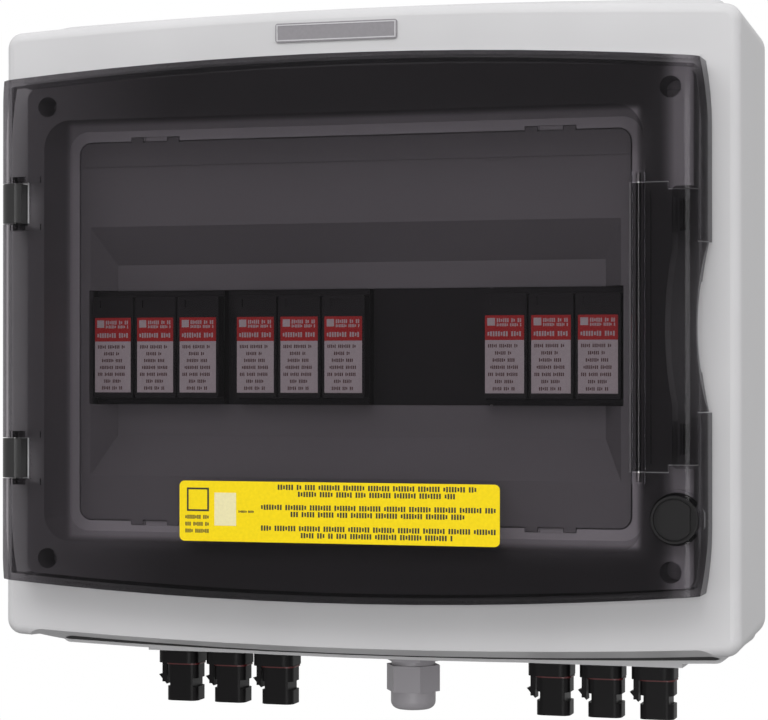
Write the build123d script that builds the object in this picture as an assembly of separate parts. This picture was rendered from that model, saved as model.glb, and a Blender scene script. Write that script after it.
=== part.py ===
"""Wall-mounted photovoltaic junction box with a smoked door, surge arresters and six plug-in string inlets.

Millimetres.  X runs to the right, Y into the wall, Z up.  The origin is the centre of the back face,
on the wall plane.  Most shapes are drawn in the front elevation and pushed out from the wall, so
their depth is given as a distance from the wall.
"""
from build123d import *
import os

CUT_REACH = 200.0              # cuts that pass right through run this far

# ---------------------------------------------------------------- enclosure
BASE_DEPTH = 88.0              # wall to seam
SKIRT_BACK = 40.0              # the cover's side skirts reach back to this distance from the wall
COVER_FRONT = 121.0            # face of the cover's outer frame
PLATEAU_FRONT = 133.0          # face of the raised field behind the door
DOOR_FRONT = 140.0             # face of the door

FRONT_HALF_WIDTH = 147.4
FRONT_HALF_HEIGHT = 124.6      # at mid width, where the arched edges are highest
SKIRT_HALF_WIDTH = 145.3       # at the rear edge of the side skirts
SKIRT_HALF_HEIGHT = 124.8
EDGE_RISE = 4.5                # rise of the arched top and bottom edges over the full width
FRONT_CORNER = 6.0
SKIRT_CORNER = 8.0
COVER_WALL = 2.4
COVER_EDGE_ROUND = 4.0
RIM_GAP = 0.3                  # cover skirt to base wall

BASE_HALF_WIDTH = 143.6        # at the seam
BASE_HALF_HEIGHT = 121.8
BASE_DRAFT = 4.4               # how much narrower the base is at the wall, each side
BASE_WALL = 3.0
BASE_CORNER = 6.5

# the top and bottom walls bulge out between the side skirts, to carry the entries
BULGE_HALF_WIDTH = 137.4
BULGE_HALF_HEIGHT = 129.2
BULGE_RISE = 2.8
BULGE_CORNER = 4.5
BULGE_BACK = 6.0
BULGE_GAP = 0.4                # bulge to the cut edge of the skirts
BULGE_LIP = 1.2                # lip of the cover outside the seal

SEAL_THICK = 1.6
SEAL_INSET = 0.6

CAVITY_HALF_WIDTH = 140.5      # inside of the cover
CAVITY_HALF_HEIGHT = 116.5
FRONT_WALL = 3.0

# scooped underside of the cover's lower edge
SCOOP_HALF_LENGTH = 140.5
SCOOP_DEPTH = 3.1
SCOOP_DROP = 6.2               # how far it falls on its way back to the seam
SCOOP_END_RADIUS = 9.0

# ---------------------------------------------------------------- raised field and its well
PLATEAU_LEFT = -131.9
PLATEAU_RIGHT = 132.0
PLATEAU_HALF_HEIGHT = 99.8
PLATEAU_RISE = 5.0
PLATEAU_WALL = 2.5
WELL_X = -5.8                  # centre of the well and of the mask
WELL_Z = 0.7
WELL_WIDTH = 238.0
WELL_HEIGHT = 165.0
WELL_CORNER = 11.0
WELL_WALL = 2.2
WELL_DRAFT = 3.1               # how much the well narrows towards the mask, each side
MASK_FRONT = 115.0             # face of the mask, at the foot of the well
LEDGE_WIDTH = 7.2              # from the mouth of the well to the edge that frames the mask
LEDGE_THICK = 2.4

# ---------------------------------------------------------------- cover screws
SCREW_X = 123.4
SCREW_Z = 88.6
SCREW_HEAD_DIA = 7.6
SCREW_HEAD_THICK = 3.0
SCREW_SHANK_DIA = 4.0
SCREW_BITE = 18.0              # length in the base pillar
SCREW_SINK = 14.0              # the head lies this far under the raised field
SCREW_CLEARANCE = 0.4          # on diameter, in the cover
PILOT_CLEARANCE = 0.1          # on diameter, in the pillar
PILLAR_DIA = 10.0

# ---------------------------------------------------------------- mask
MASK_GAP = 0.6                 # fine line between the mask and the ledge
MASK_THICK = 2.2
MASK_CORNER = 4.5
MASK_BACK_LIP = 2.2
RECESS_LEFT = -112.9
RECESS_RIGHT = 101.7
RECESS_TOP = 42.2
RECESS_BOTTOM = -56.7
RECESS_DEPTH = 10.0
RECESS_SIDE_RUN = 7.8
RECESS_TOP_RUN = 14.9
RECESS_BOTTOM_RUN = 15.9
TAB_PAIRS = ((-92.7, -77.6), (67.3, 82.1))
TAB_WIDTH = 4.6
TAB_REACH = 1.2
TAB_ROOT = 2.6
TAB_CLEARANCE = 0.35
CLIP_SLOT_HEIGHT = 1.8
CREASE_Z = 65.6                # fine groove across the upper part of the mask
CREASE_WIDTH = 0.5
CREASE_DEPTH = 0.4

# ---------------------------------------------------------------- modular devices
MODULE = 18.0
MODULE_SLOTS = 12
SLOT_HEIGHT = 45.4
SLOT_CENTRE_X = -5.4
RAIL_Z = -5.7
DEVICE_POLES = 3
DEVICE_LEFT = (-112.2, -52.2, 47.9)
DEVICE_FRONT = 115.0
DEVICE_SHOULDER = 97.0
DEVICE_HEIGHT = 90.0
DEVICE_NOSE_HEIGHT = 44.6
DEVICE_GAP = 0.4               # clearance of the device nose in the mask slot
RAIL_FRONT = 53.0              # front of the rail lips
RAIL_HEIGHT = 7.5
RAIL_WIDTH = 35.0
RAIL_CHANNEL = 25.0
RAIL_THICK = 1.0
RAIL_LENGTH = 232.0
RAIL_SLOT_PITCH = 25.0
RAIL_POST_X = 100.0
RAIL_POST_DIA = 11.0
RAIL_SCREW_DIA = 4.0
RAIL_SCREW_HEAD_DIA = 7.6
RAIL_SCREW_HEAD_THICK = 2.4
CARTRIDGE_DEPTH = 42.0
CARTRIDGE_WIDTH = 17.2
CARTRIDGE_HEIGHT = 40.0
CARTRIDGE_GAP = 0.3
STRIP_GAP = 0.3                # blanking strip to its neighbours and to the mask slot
STRIP_THICK = 2.0
STRIP_LIP = 2.2

# ---------------------------------------------------------------- door
DOOR_CENTRE_X = -2.4
DOOR_HALF_WIDTH = 139.6
DOOR_TOP = 104.7
DOOR_BOTTOM = -102.6
DOOR_RISE = 6.0
DOOR_TAPER = 2.2               # the side edges lean in by this much towards the corners
DOOR_TAPER_HEIGHT = 24.0
DOOR_THICK = 2.4
DOOR_BACK = 123.6              # rear edge of the door's skirt
DOOR_SIDE_ROUND = 7.6
DOOR_HINGE_SIDE_BACK = 131.0   # the skirt is shorter on the hinge side

# low bead on the cover along the door's top and bottom edges
BEAD_GAP = 0.8
BEAD_WIDTH = 1.5
BEAD_HEIGHT = 1.2
BEAD_HALF_LENGTH = 135.0

HINGE_INSET = 4.5              # the hinge axis lies this far inside the door's left edge
HINGE_X = DOOR_CENTRE_X - DOOR_HALF_WIDTH + HINGE_INSET
HINGE_DEPTH = 132.4
HINGE_PIN_DIA = 2.4
HINGE_CLEARANCE = 0.05         # radial, lug on pin
HINGE_BLOCK_RADIUS = 8.2       # the block is trimmed to the profile of the door
HINGE_BLOCK_RIGHT = 5.4
HINGE_FOOT_WIDTH = 6.4
HINGE_BLOCK_HEIGHT = 15.3
HINGE_BLOCK_Z = (50.6, -49.2)
HINGE_LUG_THICK = 2.5
HINGE_LUG_RADIUS = 3.1
HINGE_LUG_REACH = 13.0
HINGE_NOTCH_REACH = 9.5
HINGE_SKIRT_CUT = 3.4
HINGE_GAP = 0.35

# ---------------------------------------------------------------- latch handle
HANDLE_AXIS_X = 112.3
HANDLE_AXIS_SINK = 3.7         # the axis lies this far behind the door's face
HANDLE_AXIS_DEPTH = DOOR_FRONT - HANDLE_AXIS_SINK
HANDLE_Z = 0.8
HANDLE_HEIGHT = 100.4
HANDLE_FRAME_HEIGHT = 105.8
HANDLE_FRAME_LEFT = 109.2
HANDLE_FRAME_RIGHT = 124.0
HANDLE_PLATE_LEFT = 115.4
HANDLE_RIGHT = 134.4
HANDLE_GAP = 0.4
HANDLE_BARREL_RADIUS = 2.6
HANDLE_PIN_DIA = 2.0
HANDLE_PIN_CLEARANCE = 0.05
HANDLE_LUG_HEIGHT = 4.4
GRIP_HEIGHT = 62.3
GRIP_HOLLOW = 3.4
GRIP_BACK = 131.0
HOOK_Z = (42.0, -40.0)
HOOK_HEIGHT = 11.0
HOOK_X = 127.8
HOOK_THICK = 2.0
HOOK_BACK = 124.6
CATCH_X = 124.0                # wall of the raised field beside the handle
CATCH_REACH = 1.3
CATCH_DEPTH = 128.6
CATCH_CLEARANCE = 0.3
FINGER_SCOOP = 2.6

# ---------------------------------------------------------------- lock plug
LOCK_X = 126.0
LOCK_Z = -69.0
LOCK_DIA = 17.5
LOCK_HOLE_CLEARANCE = 0.15
LOCK_BOSS_DIA = 22.0
LOCK_ISLAND_DIA = 14.4
LOCK_ISLAND_WIDTH = 11.2
LOCK_RECESS = 1.6
LOCK_BACK = 134.4

# ---------------------------------------------------------------- plates
DOOR_LABEL_X = -1.9
DOOR_LABEL_Z = -68.6
DOOR_LABEL_WIDTH = 126.2
DOOR_LABEL_HEIGHT = 23.0
DOOR_LABEL_THICK = 0.25
NAME_PLATE_X = -8.2
NAME_PLATE_Z = 115.6
NAME_PLATE_WIDTH = 49.0
NAME_PLATE_HEIGHT = 7.4
NAME_PLATE_THICK = 0.7

# ---------------------------------------------------------------- entries in the bottom wall
ENTRY_SETBACK = 18.0           # seam to the entry axes
ENTRY_DEPTH = BASE_DEPTH - ENTRY_SETBACK
PAD_BOTTOM = -129.3
PAD_TOP = -123.6
PAD_MARGIN = 11.5
STRING_X = (-89.3, -68.7, -48.1, 66.6, 87.2, 107.8)
STRING_BODY_X = 13.4
STRING_BODY_Y = 12.0
STRING_BODY_CORNER = 3.0
STRING_SEAL_THICK = 1.0
STRING_FLANGE_LEFT = 9.8
STRING_FLANGE_RIGHT = 7.0
STRING_FLANGE_HALF_DEPTH = 8.4
STRING_FLANGE_BOTTOM = -135.0
STRING_BOTTOM = -150.6
STRING_WAIST_TOP = -141.4
STRING_WAIST_BOTTOM = -144.9
STRING_WAIST_CUT = 1.7
STRING_ARM_X = 8.5
STRING_ARM_THICK = 1.9
STRING_ARM_WIDTH = 6.0
STRING_ARM_BOTTOM = -143.4
STRING_ARM_BARB = 1.5
STRING_SPIGOT_DIA = 11.8
STRING_SPIGOT_TOP = -112.0
STRING_HOLE_CLEARANCE = 0.3
STRING_BORE_DIA = 8.2
STRING_BORE_TOP = -130.0
STRING_RING_Z = -135.45
STRING_RING_THICK = 0.6
STRING_NUT_ACROSS = 17.0
STRING_NUT_THICK = 5.0
THREAD_CLEARANCE = 0.1
CONTACT_DIA = 3.0
CONTACT_TAIL_DIA = 6.0
CONTACT_TAIL_TOP = -104.0

GLAND_X = 8.2
GLAND_HEX = 19.2
GLAND_COLLAR_THICK = 2.0
GLAND_NECK_DIA = 17.6
GLAND_SPIGOT_DIA = 15.8
GLAND_SPIGOT_TOP = -113.0
GLAND_NUT_TOP = -132.9
GLAND_NUT_HEX_BOTTOM = -143.4
GLAND_NUT_BOTTOM = -150.7
GLAND_DOME_DIA = 18.0
GLAND_CABLE_DIA = 9.0
GLAND_INSERT_DIA = 13.0
GLAND_LOCKNUT_ACROSS = 22.0
GLAND_LOCKNUT_THICK = 5.0

# ---------------------------------------------------------------- wall fixing and earth bar
WALL_HOLE_X = 105.0
WALL_HOLE_Z = 95.0
WALL_HOLE_DIA = 5.5
WALL_BOSS_DIA = 14.0
WALL_BOSS_HEIGHT = 5.0
EARTH_X = 8.0
EARTH_Z = -86.0
EARTH_LENGTH = 96.0
EARTH_HEIGHT = 9.0
EARTH_THICK = 6.5
EARTH_STAND = 18.0
EARTH_WAYS = 10
EARTH_END = 12.0               # end of the bar to the outermost way
EARTH_SCREW_DIA = 4.4


# ================================================================ drawing helpers
def at(distance):
    """Front elevation plane at a distance from the wall, facing the viewer."""
    return Plane.XZ.offset(distance)


def slab(sketch, back, front):
    """Solid from a front-elevation sketch between two distances from the wall."""
    return extrude(at(back) * sketch, amount=front - back)


def column(sketch, bottom, top):
    """Solid from a plan sketch, drawn with the wall distance as minus Y, between two heights."""
    return extrude(Plane.XY.offset(bottom) * sketch, amount=top - bottom)


def block(left, right, back, front, bottom, top):
    """Box between two X, two distances from the wall and two heights."""
    size = Box(right - left, front - back, top - bottom)
    return Pos((left + right) / 2, -(back + front) / 2, (bottom + top) / 2) * size


def rod_y(x, z, radius, back, front):
    """Cylinder along the depth."""
    return slab(Pos(x, z) * Circle(radius), back, front)


def rod_z(x, distance, radius, bottom, top):
    """Upright cylinder."""
    return column(Pos(x, -distance) * Circle(radius), bottom, top)


def arched(half_width, half_height, rise, corner, centre_x=0.0, centre_z=0.0):
    """Rectangle with gently arched top and bottom edges and round corners."""
    side = half_height - rise
    edges = [
        ThreePointArc((-half_width, side), (0, half_height), (half_width, side)),
        Line((half_width, side), (half_width, -side)),
        ThreePointArc((half_width, -side), (0, -half_height), (-half_width, -side)),
        Line((-half_width, -side), (-half_width, side)),
    ]
    sketch = make_face(edges)
    return Pos(centre_x, centre_z) * fillet(sketch.vertices(), corner)


def rounded(left, right, bottom, top, corner):
    """Rectangle with round corners between two X and two heights."""
    return Pos((left + right) / 2, (bottom + top) / 2) * RectangleRounded(
        right - left, top - bottom, corner
    )


def total(shapes):
    """One solid or group from a list of shapes."""
    result = shapes[0]
    for shape in shapes[1:]:
        result = result + shape
    return result


def group(shapes):
    """Separate solids kept as one node."""
    solids = []
    for shape in shapes:
        solids.extend(shape.solids())
    return Compound(children=solids)


# ================================================================ base
def base_section(grow, distance):
    """Outline of the base between the skirts, grown by an amount, at a distance from the wall."""
    draft = BASE_DRAFT * (1 - distance / BASE_DEPTH)
    return at(distance) * arched(
        BASE_HALF_WIDTH - draft + grow, BASE_HALF_HEIGHT - draft + grow, EDGE_RISE, BASE_CORNER + grow
    )


def bulge_outline(grow):
    """Outline of the bulged top and bottom walls, grown by an amount."""
    return arched(
        BULGE_HALF_WIDTH + grow, BULGE_HALF_HEIGHT + grow, BULGE_RISE, BULGE_CORNER + grow
    )


def seam_outline(body_grow, bulge_grow):
    """Outline of the base at the seam: body and bulge together, each with its own margin."""
    body = arched(
        BASE_HALF_WIDTH + body_grow, BASE_HALF_HEIGHT + body_grow, EDGE_RISE, BASE_CORNER + body_grow
    )
    return body + bulge_outline(bulge_grow)


def entry_positions():
    """X of each inlet hole with its hole diameter."""
    holes = [(x, STRING_SPIGOT_DIA + STRING_HOLE_CLEARANCE) for x in STRING_X]
    holes.append((GLAND_X, GLAND_SPIGOT_DIA + STRING_HOLE_CLEARANCE))
    return holes


def entry_pads():
    """Flat pads on the bottom wall that the inlets and the gland are clamped to."""
    spans = (
        (STRING_X[0] - PAD_MARGIN, STRING_X[2] + PAD_MARGIN),
        (GLAND_X - PAD_MARGIN - 2, GLAND_X + PAD_MARGIN + 2),
        (STRING_X[3] - PAD_MARGIN, STRING_X[5] + PAD_MARGIN),
    )
    reach = PAD_MARGIN + 1.5
    return [
        block(left, right, ENTRY_DEPTH - reach, ENTRY_DEPTH + reach, PAD_BOTTOM, PAD_TOP)
        for left, right in spans
    ]


def wall_holes():
    return [(sx * WALL_HOLE_X, sz * WALL_HOLE_Z) for sx in (-1, 1) for sz in (-1, 1)]


def screw_places():
    return [(sx * SCREW_X, sz * SCREW_Z) for sx in (-1, 1) for sz in (-1, 1)]


def rail_posts():
    return [(SLOT_CENTRE_X + sx * RAIL_POST_X, RAIL_Z) for sx in (-1, 1)]


def earth_posts():
    reach = EARTH_LENGTH / 2 - 6
    return [(EARTH_X + sx * reach, EARTH_Z) for sx in (-1, 1)]


def make_base_box():
    body = loft([base_section(0, 0), base_section(0, BASE_DEPTH)], ruled=True)
    hollow = loft([base_section(-BASE_WALL, BASE_WALL), base_section(-BASE_WALL, BASE_DEPTH)], ruled=True)
    bulge = slab(bulge_outline(0), BULGE_BACK, BASE_DEPTH)
    bulge = chamfer(bulge.faces().sort_by(Axis.Y)[-1].edges(), BULGE_BACK * 0.7)
    bulge_hollow = slab(bulge_outline(-BASE_WALL), BULGE_BACK + BASE_WALL + 2, BASE_DEPTH)
    shape = (body + bulge) - hollow - bulge_hollow
    rail_seat = RAIL_FRONT - RAIL_HEIGHT
    posts = [rod_y(x, z, PILLAR_DIA / 2, BASE_WALL / 2, BASE_DEPTH) for x, z in screw_places()]
    posts += [rod_y(x, z, RAIL_POST_DIA / 2, BASE_WALL / 2, rail_seat) for x, z in rail_posts()]
    posts += [rod_y(x, z, 4.0, BASE_WALL / 2, EARTH_STAND) for x, z in earth_posts()]
    posts += [
        rod_y(x, z, WALL_BOSS_DIA / 2, BASE_WALL / 2, BASE_WALL + WALL_BOSS_HEIGHT) for x, z in wall_holes()
    ]
    shape = total([shape] + posts + entry_pads())
    cuts = [rod_y(x, z, WALL_HOLE_DIA / 2, -1, BASE_WALL + WALL_BOSS_HEIGHT + 1) for x, z in wall_holes()]
    pilot = (SCREW_SHANK_DIA + PILOT_CLEARANCE) / 2
    cuts += [rod_y(x, z, pilot, BASE_DEPTH - SCREW_BITE - 2, BASE_DEPTH + 1) for x, z in screw_places()]
    cuts += [
        rod_y(x, z, (RAIL_SCREW_DIA + PILOT_CLEARANCE) / 2, rail_seat - 13, rail_seat + 1)
        for x, z in rail_posts()
    ]
    cuts += [rod_z(x, ENTRY_DEPTH, dia / 2, PAD_BOTTOM - 5, PAD_TOP + 5) for x, dia in entry_positions()]
    for cut in cuts:
        shape = shape - cut
    return shape


# ================================================================ cover
def handle_recess(grow=0.0):
    """Front-elevation area behind the latch handle that the raised field leaves free."""
    half = HANDLE_HEIGHT / 2 + 1.4 + grow
    field = rounded(CATCH_X - grow, PLATEAU_RIGHT + CUT_REACH, HANDLE_Z - half, HANDLE_Z + half, 2.0)
    grip = GRIP_HEIGHT / 2
    scoop = make_face(
        [
            ThreePointArc(
                (CATCH_X - grow + 0.5, HANDLE_Z - grip),
                (CATCH_X - grow - FINGER_SCOOP, HANDLE_Z),
                (CATCH_X - grow + 0.5, HANDLE_Z + grip),
            ),
            Line((CATCH_X - grow + 0.5, HANDLE_Z + grip), (CATCH_X - grow + 0.5, HANDLE_Z - grip)),
        ]
    )
    return field + scoop


def plateau_outline(shrink):
    """Outline of the raised field, less an even margin."""
    half = (PLATEAU_RIGHT - PLATEAU_LEFT) / 2 - shrink
    middle = (PLATEAU_RIGHT + PLATEAU_LEFT) / 2
    outline = arched(half, PLATEAU_HALF_HEIGHT - shrink, PLATEAU_RISE, 4.0, middle, WELL_Z)
    return outline - handle_recess(shrink)


def well_outline(grow):
    """Outline of the well at its mouth, grown by an even margin."""
    return Pos(WELL_X, WELL_Z) * RectangleRounded(
        WELL_WIDTH + 2 * grow, WELL_HEIGHT + 2 * grow, WELL_CORNER + grow
    )


def well_solid(grow, back, front):
    """Tapered well between two distances from the wall, full size at the raised field's face."""
    slope = WELL_DRAFT / (PLATEAU_FRONT - MASK_FRONT)
    narrow = grow - slope * (PLATEAU_FRONT - back)
    wide = grow - slope * (PLATEAU_FRONT - front)
    return loft([at(back) * well_outline(narrow), at(front) * well_outline(wide)], ruled=True)


def ledge_outline(grow):
    """Edge of the ledge at the foot of the well; the mask fills it but for a fine line."""
    return Pos(WELL_X, WELL_Z) * RectangleRounded(
        WELL_WIDTH - 2 * LEDGE_WIDTH + 2 * grow,
        WELL_HEIGHT - 2 * LEDGE_WIDTH + 2 * grow,
        MASK_CORNER + MASK_GAP + grow,
    )


def tab_boxes(clearance):
    """Four pairs of snap tabs that bridge the line between mask and ledge."""
    edge = WELL_HEIGHT / 2 - LEDGE_WIDTH
    half = TAB_WIDTH / 2 + clearance
    boxes = []
    for sign in (-1, 1):
        for pair in TAB_PAIRS:
            for x in pair:
                low = WELL_Z + sign * (edge - TAB_ROOT)
                high = WELL_Z + sign * (edge + TAB_REACH + clearance)
                boxes.append(Pos(x, (low + high) / 2) * Rectangle(2 * half, abs(high - low)))
    return boxes


def clip_slots():
    """Slots in the ledge between the two tabs of each pair."""
    edge = WELL_HEIGHT / 2 - LEDGE_WIDTH
    slots = []
    for sign in (-1, 1):
        middle = WELL_Z + sign * (edge + CLIP_SLOT_HEIGHT / 2 - 0.2)
        for near, far in TAB_PAIRS:
            width = far - near - TAB_WIDTH - 1.2
            slots.append(Pos((near + far) / 2, middle) * Rectangle(width, CLIP_SLOT_HEIGHT))
    return slots


def hinge_columns():
    return [(z - HINGE_BLOCK_HEIGHT / 2, z + HINGE_BLOCK_HEIGHT / 2) for z in HINGE_BLOCK_Z]


def cover_scoop():
    """Slanting cut that hollows the underside of the lower edge between the corners."""
    run = COVER_FRONT - BASE_DEPTH
    middle = -FRONT_HALF_HEIGHT + SCOOP_DEPTH
    end = middle + EDGE_RISE * (SCOOP_HALF_LENGTH / FRONT_HALF_WIDTH) ** 2
    low = middle - CUT_REACH
    profile = make_face(
        [
            ThreePointArc((-SCOOP_HALF_LENGTH, end), (0, middle), (SCOOP_HALF_LENGTH, end)),
            Line((SCOOP_HALF_LENGTH, end), (SCOOP_HALF_LENGTH, low)),
            Line((SCOOP_HALF_LENGTH, low), (-SCOOP_HALF_LENGTH, low)),
            Line((-SCOOP_HALF_LENGTH, low), (-SCOOP_HALF_LENGTH, end)),
        ]
    )
    profile = fillet(profile.vertices().sort_by(Axis.Y)[-2:], SCOOP_END_RADIUS)
    direction = Vector(0, run, -SCOOP_DROP)
    return extrude(at(COVER_FRONT) * profile, amount=direction.length + 2, dir=direction.normalized()) + extrude(
        at(COVER_FRONT) * profile, amount=3
    )


def make_front_cover():
    ledge = BASE_DEPTH + SEAL_THICK
    skin = loft(
        [
            at(SKIRT_BACK) * arched(SKIRT_HALF_WIDTH, SKIRT_HALF_HEIGHT, EDGE_RISE, SKIRT_CORNER),
            at(COVER_FRONT) * arched(FRONT_HALF_WIDTH, FRONT_HALF_HEIGHT, EDGE_RISE, FRONT_CORNER),
        ],
        ruled=True,
    )
    skin = fillet(skin.faces().sort_by(Axis.Y)[0].edges(), COVER_EDGE_ROUND)
    skirt_gap = slab(
        rounded(-BULGE_HALF_WIDTH - BULGE_GAP, BULGE_HALF_WIDTH + BULGE_GAP, -CUT_REACH, CUT_REACH, 1.0),
        SKIRT_BACK - 1,
        BASE_DEPTH,
    )
    flare = loft(
        [
            at(BASE_DEPTH) * bulge_outline(0),
            at(COVER_FRONT - COVER_EDGE_ROUND + 1)
            * arched(BULGE_HALF_WIDTH + 2, FRONT_HALF_HEIGHT - 0.6, EDGE_RISE, BULGE_CORNER),
        ],
        ruled=True,
    )
    shape = (skin - skirt_gap) + flare - cover_scoop()
    inside = seam_outline(RIM_GAP, -BULGE_LIP)
    cavity = slab(
        arched(CAVITY_HALF_WIDTH, CAVITY_HALF_HEIGHT, EDGE_RISE, 6.0), ledge - 1, COVER_FRONT - FRONT_WALL
    )
    shape = shape - slab(inside, SKIRT_BACK - 1, ledge) - cavity
    plateau = slab(plateau_outline(0), COVER_FRONT - FRONT_WALL, PLATEAU_FRONT)
    pocket = slab(
        plateau_outline(PLATEAU_WALL), COVER_FRONT - FRONT_WALL - 1, PLATEAU_FRONT - PLATEAU_WALL
    )
    shape = (shape + plateau) - pocket
    shape = shape + well_solid(WELL_WALL, MASK_FRONT - LEDGE_THICK, PLATEAU_FRONT - 0.1)
    sleeve = SCREW_HEAD_DIA / 2 + SCREW_CLEARANCE / 2 + 1.2
    for x, z in screw_places():
        shape = shape + rod_y(x, z, sleeve, BASE_DEPTH + 0.3, PLATEAU_FRONT - 0.1)
    cuts = [
        well_solid(0, MASK_FRONT, PLATEAU_FRONT + 0.5),
        slab(ledge_outline(0), MASK_FRONT - LEDGE_THICK - 1, MASK_FRONT + 1),
    ]
    cuts += [slab(tab, MASK_FRONT - LEDGE_THICK - 1, MASK_FRONT + 1) for tab in tab_boxes(TAB_CLEARANCE)]
    cuts += [slab(slot, MASK_FRONT - LEDGE_THICK + 0.6, MASK_FRONT + 1) for slot in clip_slots()]
    head = PLATEAU_FRONT - SCREW_SINK - SCREW_HEAD_THICK
    for x, z in screw_places():
        cuts.append(rod_y(x, z, (SCREW_HEAD_DIA + SCREW_CLEARANCE) / 2, head, PLATEAU_FRONT + 1))
        cuts.append(rod_y(x, z, (SCREW_SHANK_DIA + SCREW_CLEARANCE) / 2, BASE_DEPTH - 1, head + 1))
    for cut in cuts:
        shape = shape - cut
    for z in HOOK_Z:
        shape = shape + catch_rib(z)
    return shape + cover_beads()


def cover_beads():
    """Two low beads that follow the arched top and bottom edges of the door."""
    ring = door_outline(-BEAD_GAP - BEAD_WIDTH) - door_outline(-BEAD_GAP)
    ring = ring & Pos(DOOR_CENTRE_X, 0) * Rectangle(2 * BEAD_HALF_LENGTH, 2 * CUT_REACH)
    return slab(ring, COVER_FRONT - 0.5, COVER_FRONT + BEAD_HEIGHT)


def catch_rib(z):
    """Half-round rib on the wall of the raised field that the hook snaps behind."""
    half = HOOK_HEIGHT / 2 + 1
    profile = make_face(
        [
            Line((CATCH_X - 0.5, -(CATCH_DEPTH - 1.6)), (CATCH_X - 0.5, -(CATCH_DEPTH + 1.6))),
            Line((CATCH_X - 0.5, -(CATCH_DEPTH + 1.6)), (CATCH_X, -(CATCH_DEPTH + 1.6))),
            ThreePointArc(
                (CATCH_X, -(CATCH_DEPTH + 1.6)),
                (CATCH_X + CATCH_REACH, -CATCH_DEPTH),
                (CATCH_X, -(CATCH_DEPTH - 1.6)),
            ),
            Line((CATCH_X, -(CATCH_DEPTH - 1.6)), (CATCH_X - 0.5, -(CATCH_DEPTH - 1.6))),
        ]
    )
    return column(profile, z - half, z + half)


def make_cover_seal():
    ring = seam_outline(-SEAL_INSET, -BULGE_LIP - 0.2) - seam_outline(-BASE_WALL, -BASE_WALL)
    return slab(ring, BASE_DEPTH, BASE_DEPTH + SEAL_THICK)


def make_cover_screws():
    screws = []
    head_back = PLATEAU_FRONT - SCREW_SINK - SCREW_HEAD_THICK
    for x, z in screw_places():
        screw = rod_y(x, z, SCREW_HEAD_DIA / 2, head_back, head_back + SCREW_HEAD_THICK)
        screw = screw + rod_y(x, z, SCREW_SHANK_DIA / 2, BASE_DEPTH - SCREW_BITE, head_back + 0.5)
        slot = block(x - 5, x + 5, head_back + 1.6, head_back + 5, z - 0.6, z + 0.6)
        screws.append(screw - slot)
    return group(screws)


# ================================================================ mask
def recess_solid(offset):
    """Sloping recess of the mask, pushed back by an amount."""
    front = MASK_FRONT - offset
    wide = (RECESS_LEFT, RECESS_RIGHT, RECESS_BOTTOM, RECESS_TOP)
    deep = (
        RECESS_LEFT + RECESS_SIDE_RUN,
        RECESS_RIGHT - RECESS_SIDE_RUN,
        RECESS_BOTTOM + RECESS_BOTTOM_RUN,
        RECESS_TOP - RECESS_TOP_RUN,
    )
    return loft(
        [at(front) * sharp(wide, offset), at(front - RECESS_DEPTH) * sharp(deep, offset)], ruled=True
    )


def sharp(limits, grow):
    """Plain rectangle from left, right, bottom and top, grown by an amount."""
    left, right, bottom, top = limits
    return Pos((left + right) / 2, (bottom + top) / 2) * Rectangle(
        right - left + 2 * grow, top - bottom + 2 * grow
    )


def slot_limits():
    half = MODULE * MODULE_SLOTS / 2
    return (
        SLOT_CENTRE_X - half,
        SLOT_CENTRE_X + half,
        RAIL_Z - SLOT_HEIGHT / 2,
        RAIL_Z + SLOT_HEIGHT / 2,
    )


def make_mask():
    back = MASK_FRONT - MASK_THICK
    plate = slab(ledge_outline(-MASK_GAP), back, MASK_FRONT)
    for tab in tab_boxes(0):
        plate = plate + slab(tab, back, MASK_FRONT)
    lip_front = MASK_FRONT - LEDGE_THICK
    lip = slab(ledge_outline(MASK_BACK_LIP), lip_front - MASK_THICK, lip_front)
    lip = lip - slab(ledge_outline(-MASK_GAP - 2.5), lip_front - MASK_THICK - 1, lip_front + 1)
    neck = slab(ledge_outline(-MASK_GAP), lip_front - MASK_THICK, back + 0.2)
    neck = neck - slab(ledge_outline(-MASK_GAP - 2.5), lip_front - MASK_THICK - 1, back + 1)
    tray = recess_solid(MASK_THICK)
    shape = plate + neck + lip + tray
    shape = shape - recess_solid(0)
    left, right, bottom, top = slot_limits()
    slot = block(left, right, MASK_FRONT - RECESS_DEPTH - 8, MASK_FRONT + 1, bottom, top)
    shape = shape - slot
    return shape - block(
        left - 4, right + 4, MASK_FRONT - CREASE_DEPTH, MASK_FRONT + 1, CREASE_Z, CREASE_Z + CREASE_WIDTH
    )


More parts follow.
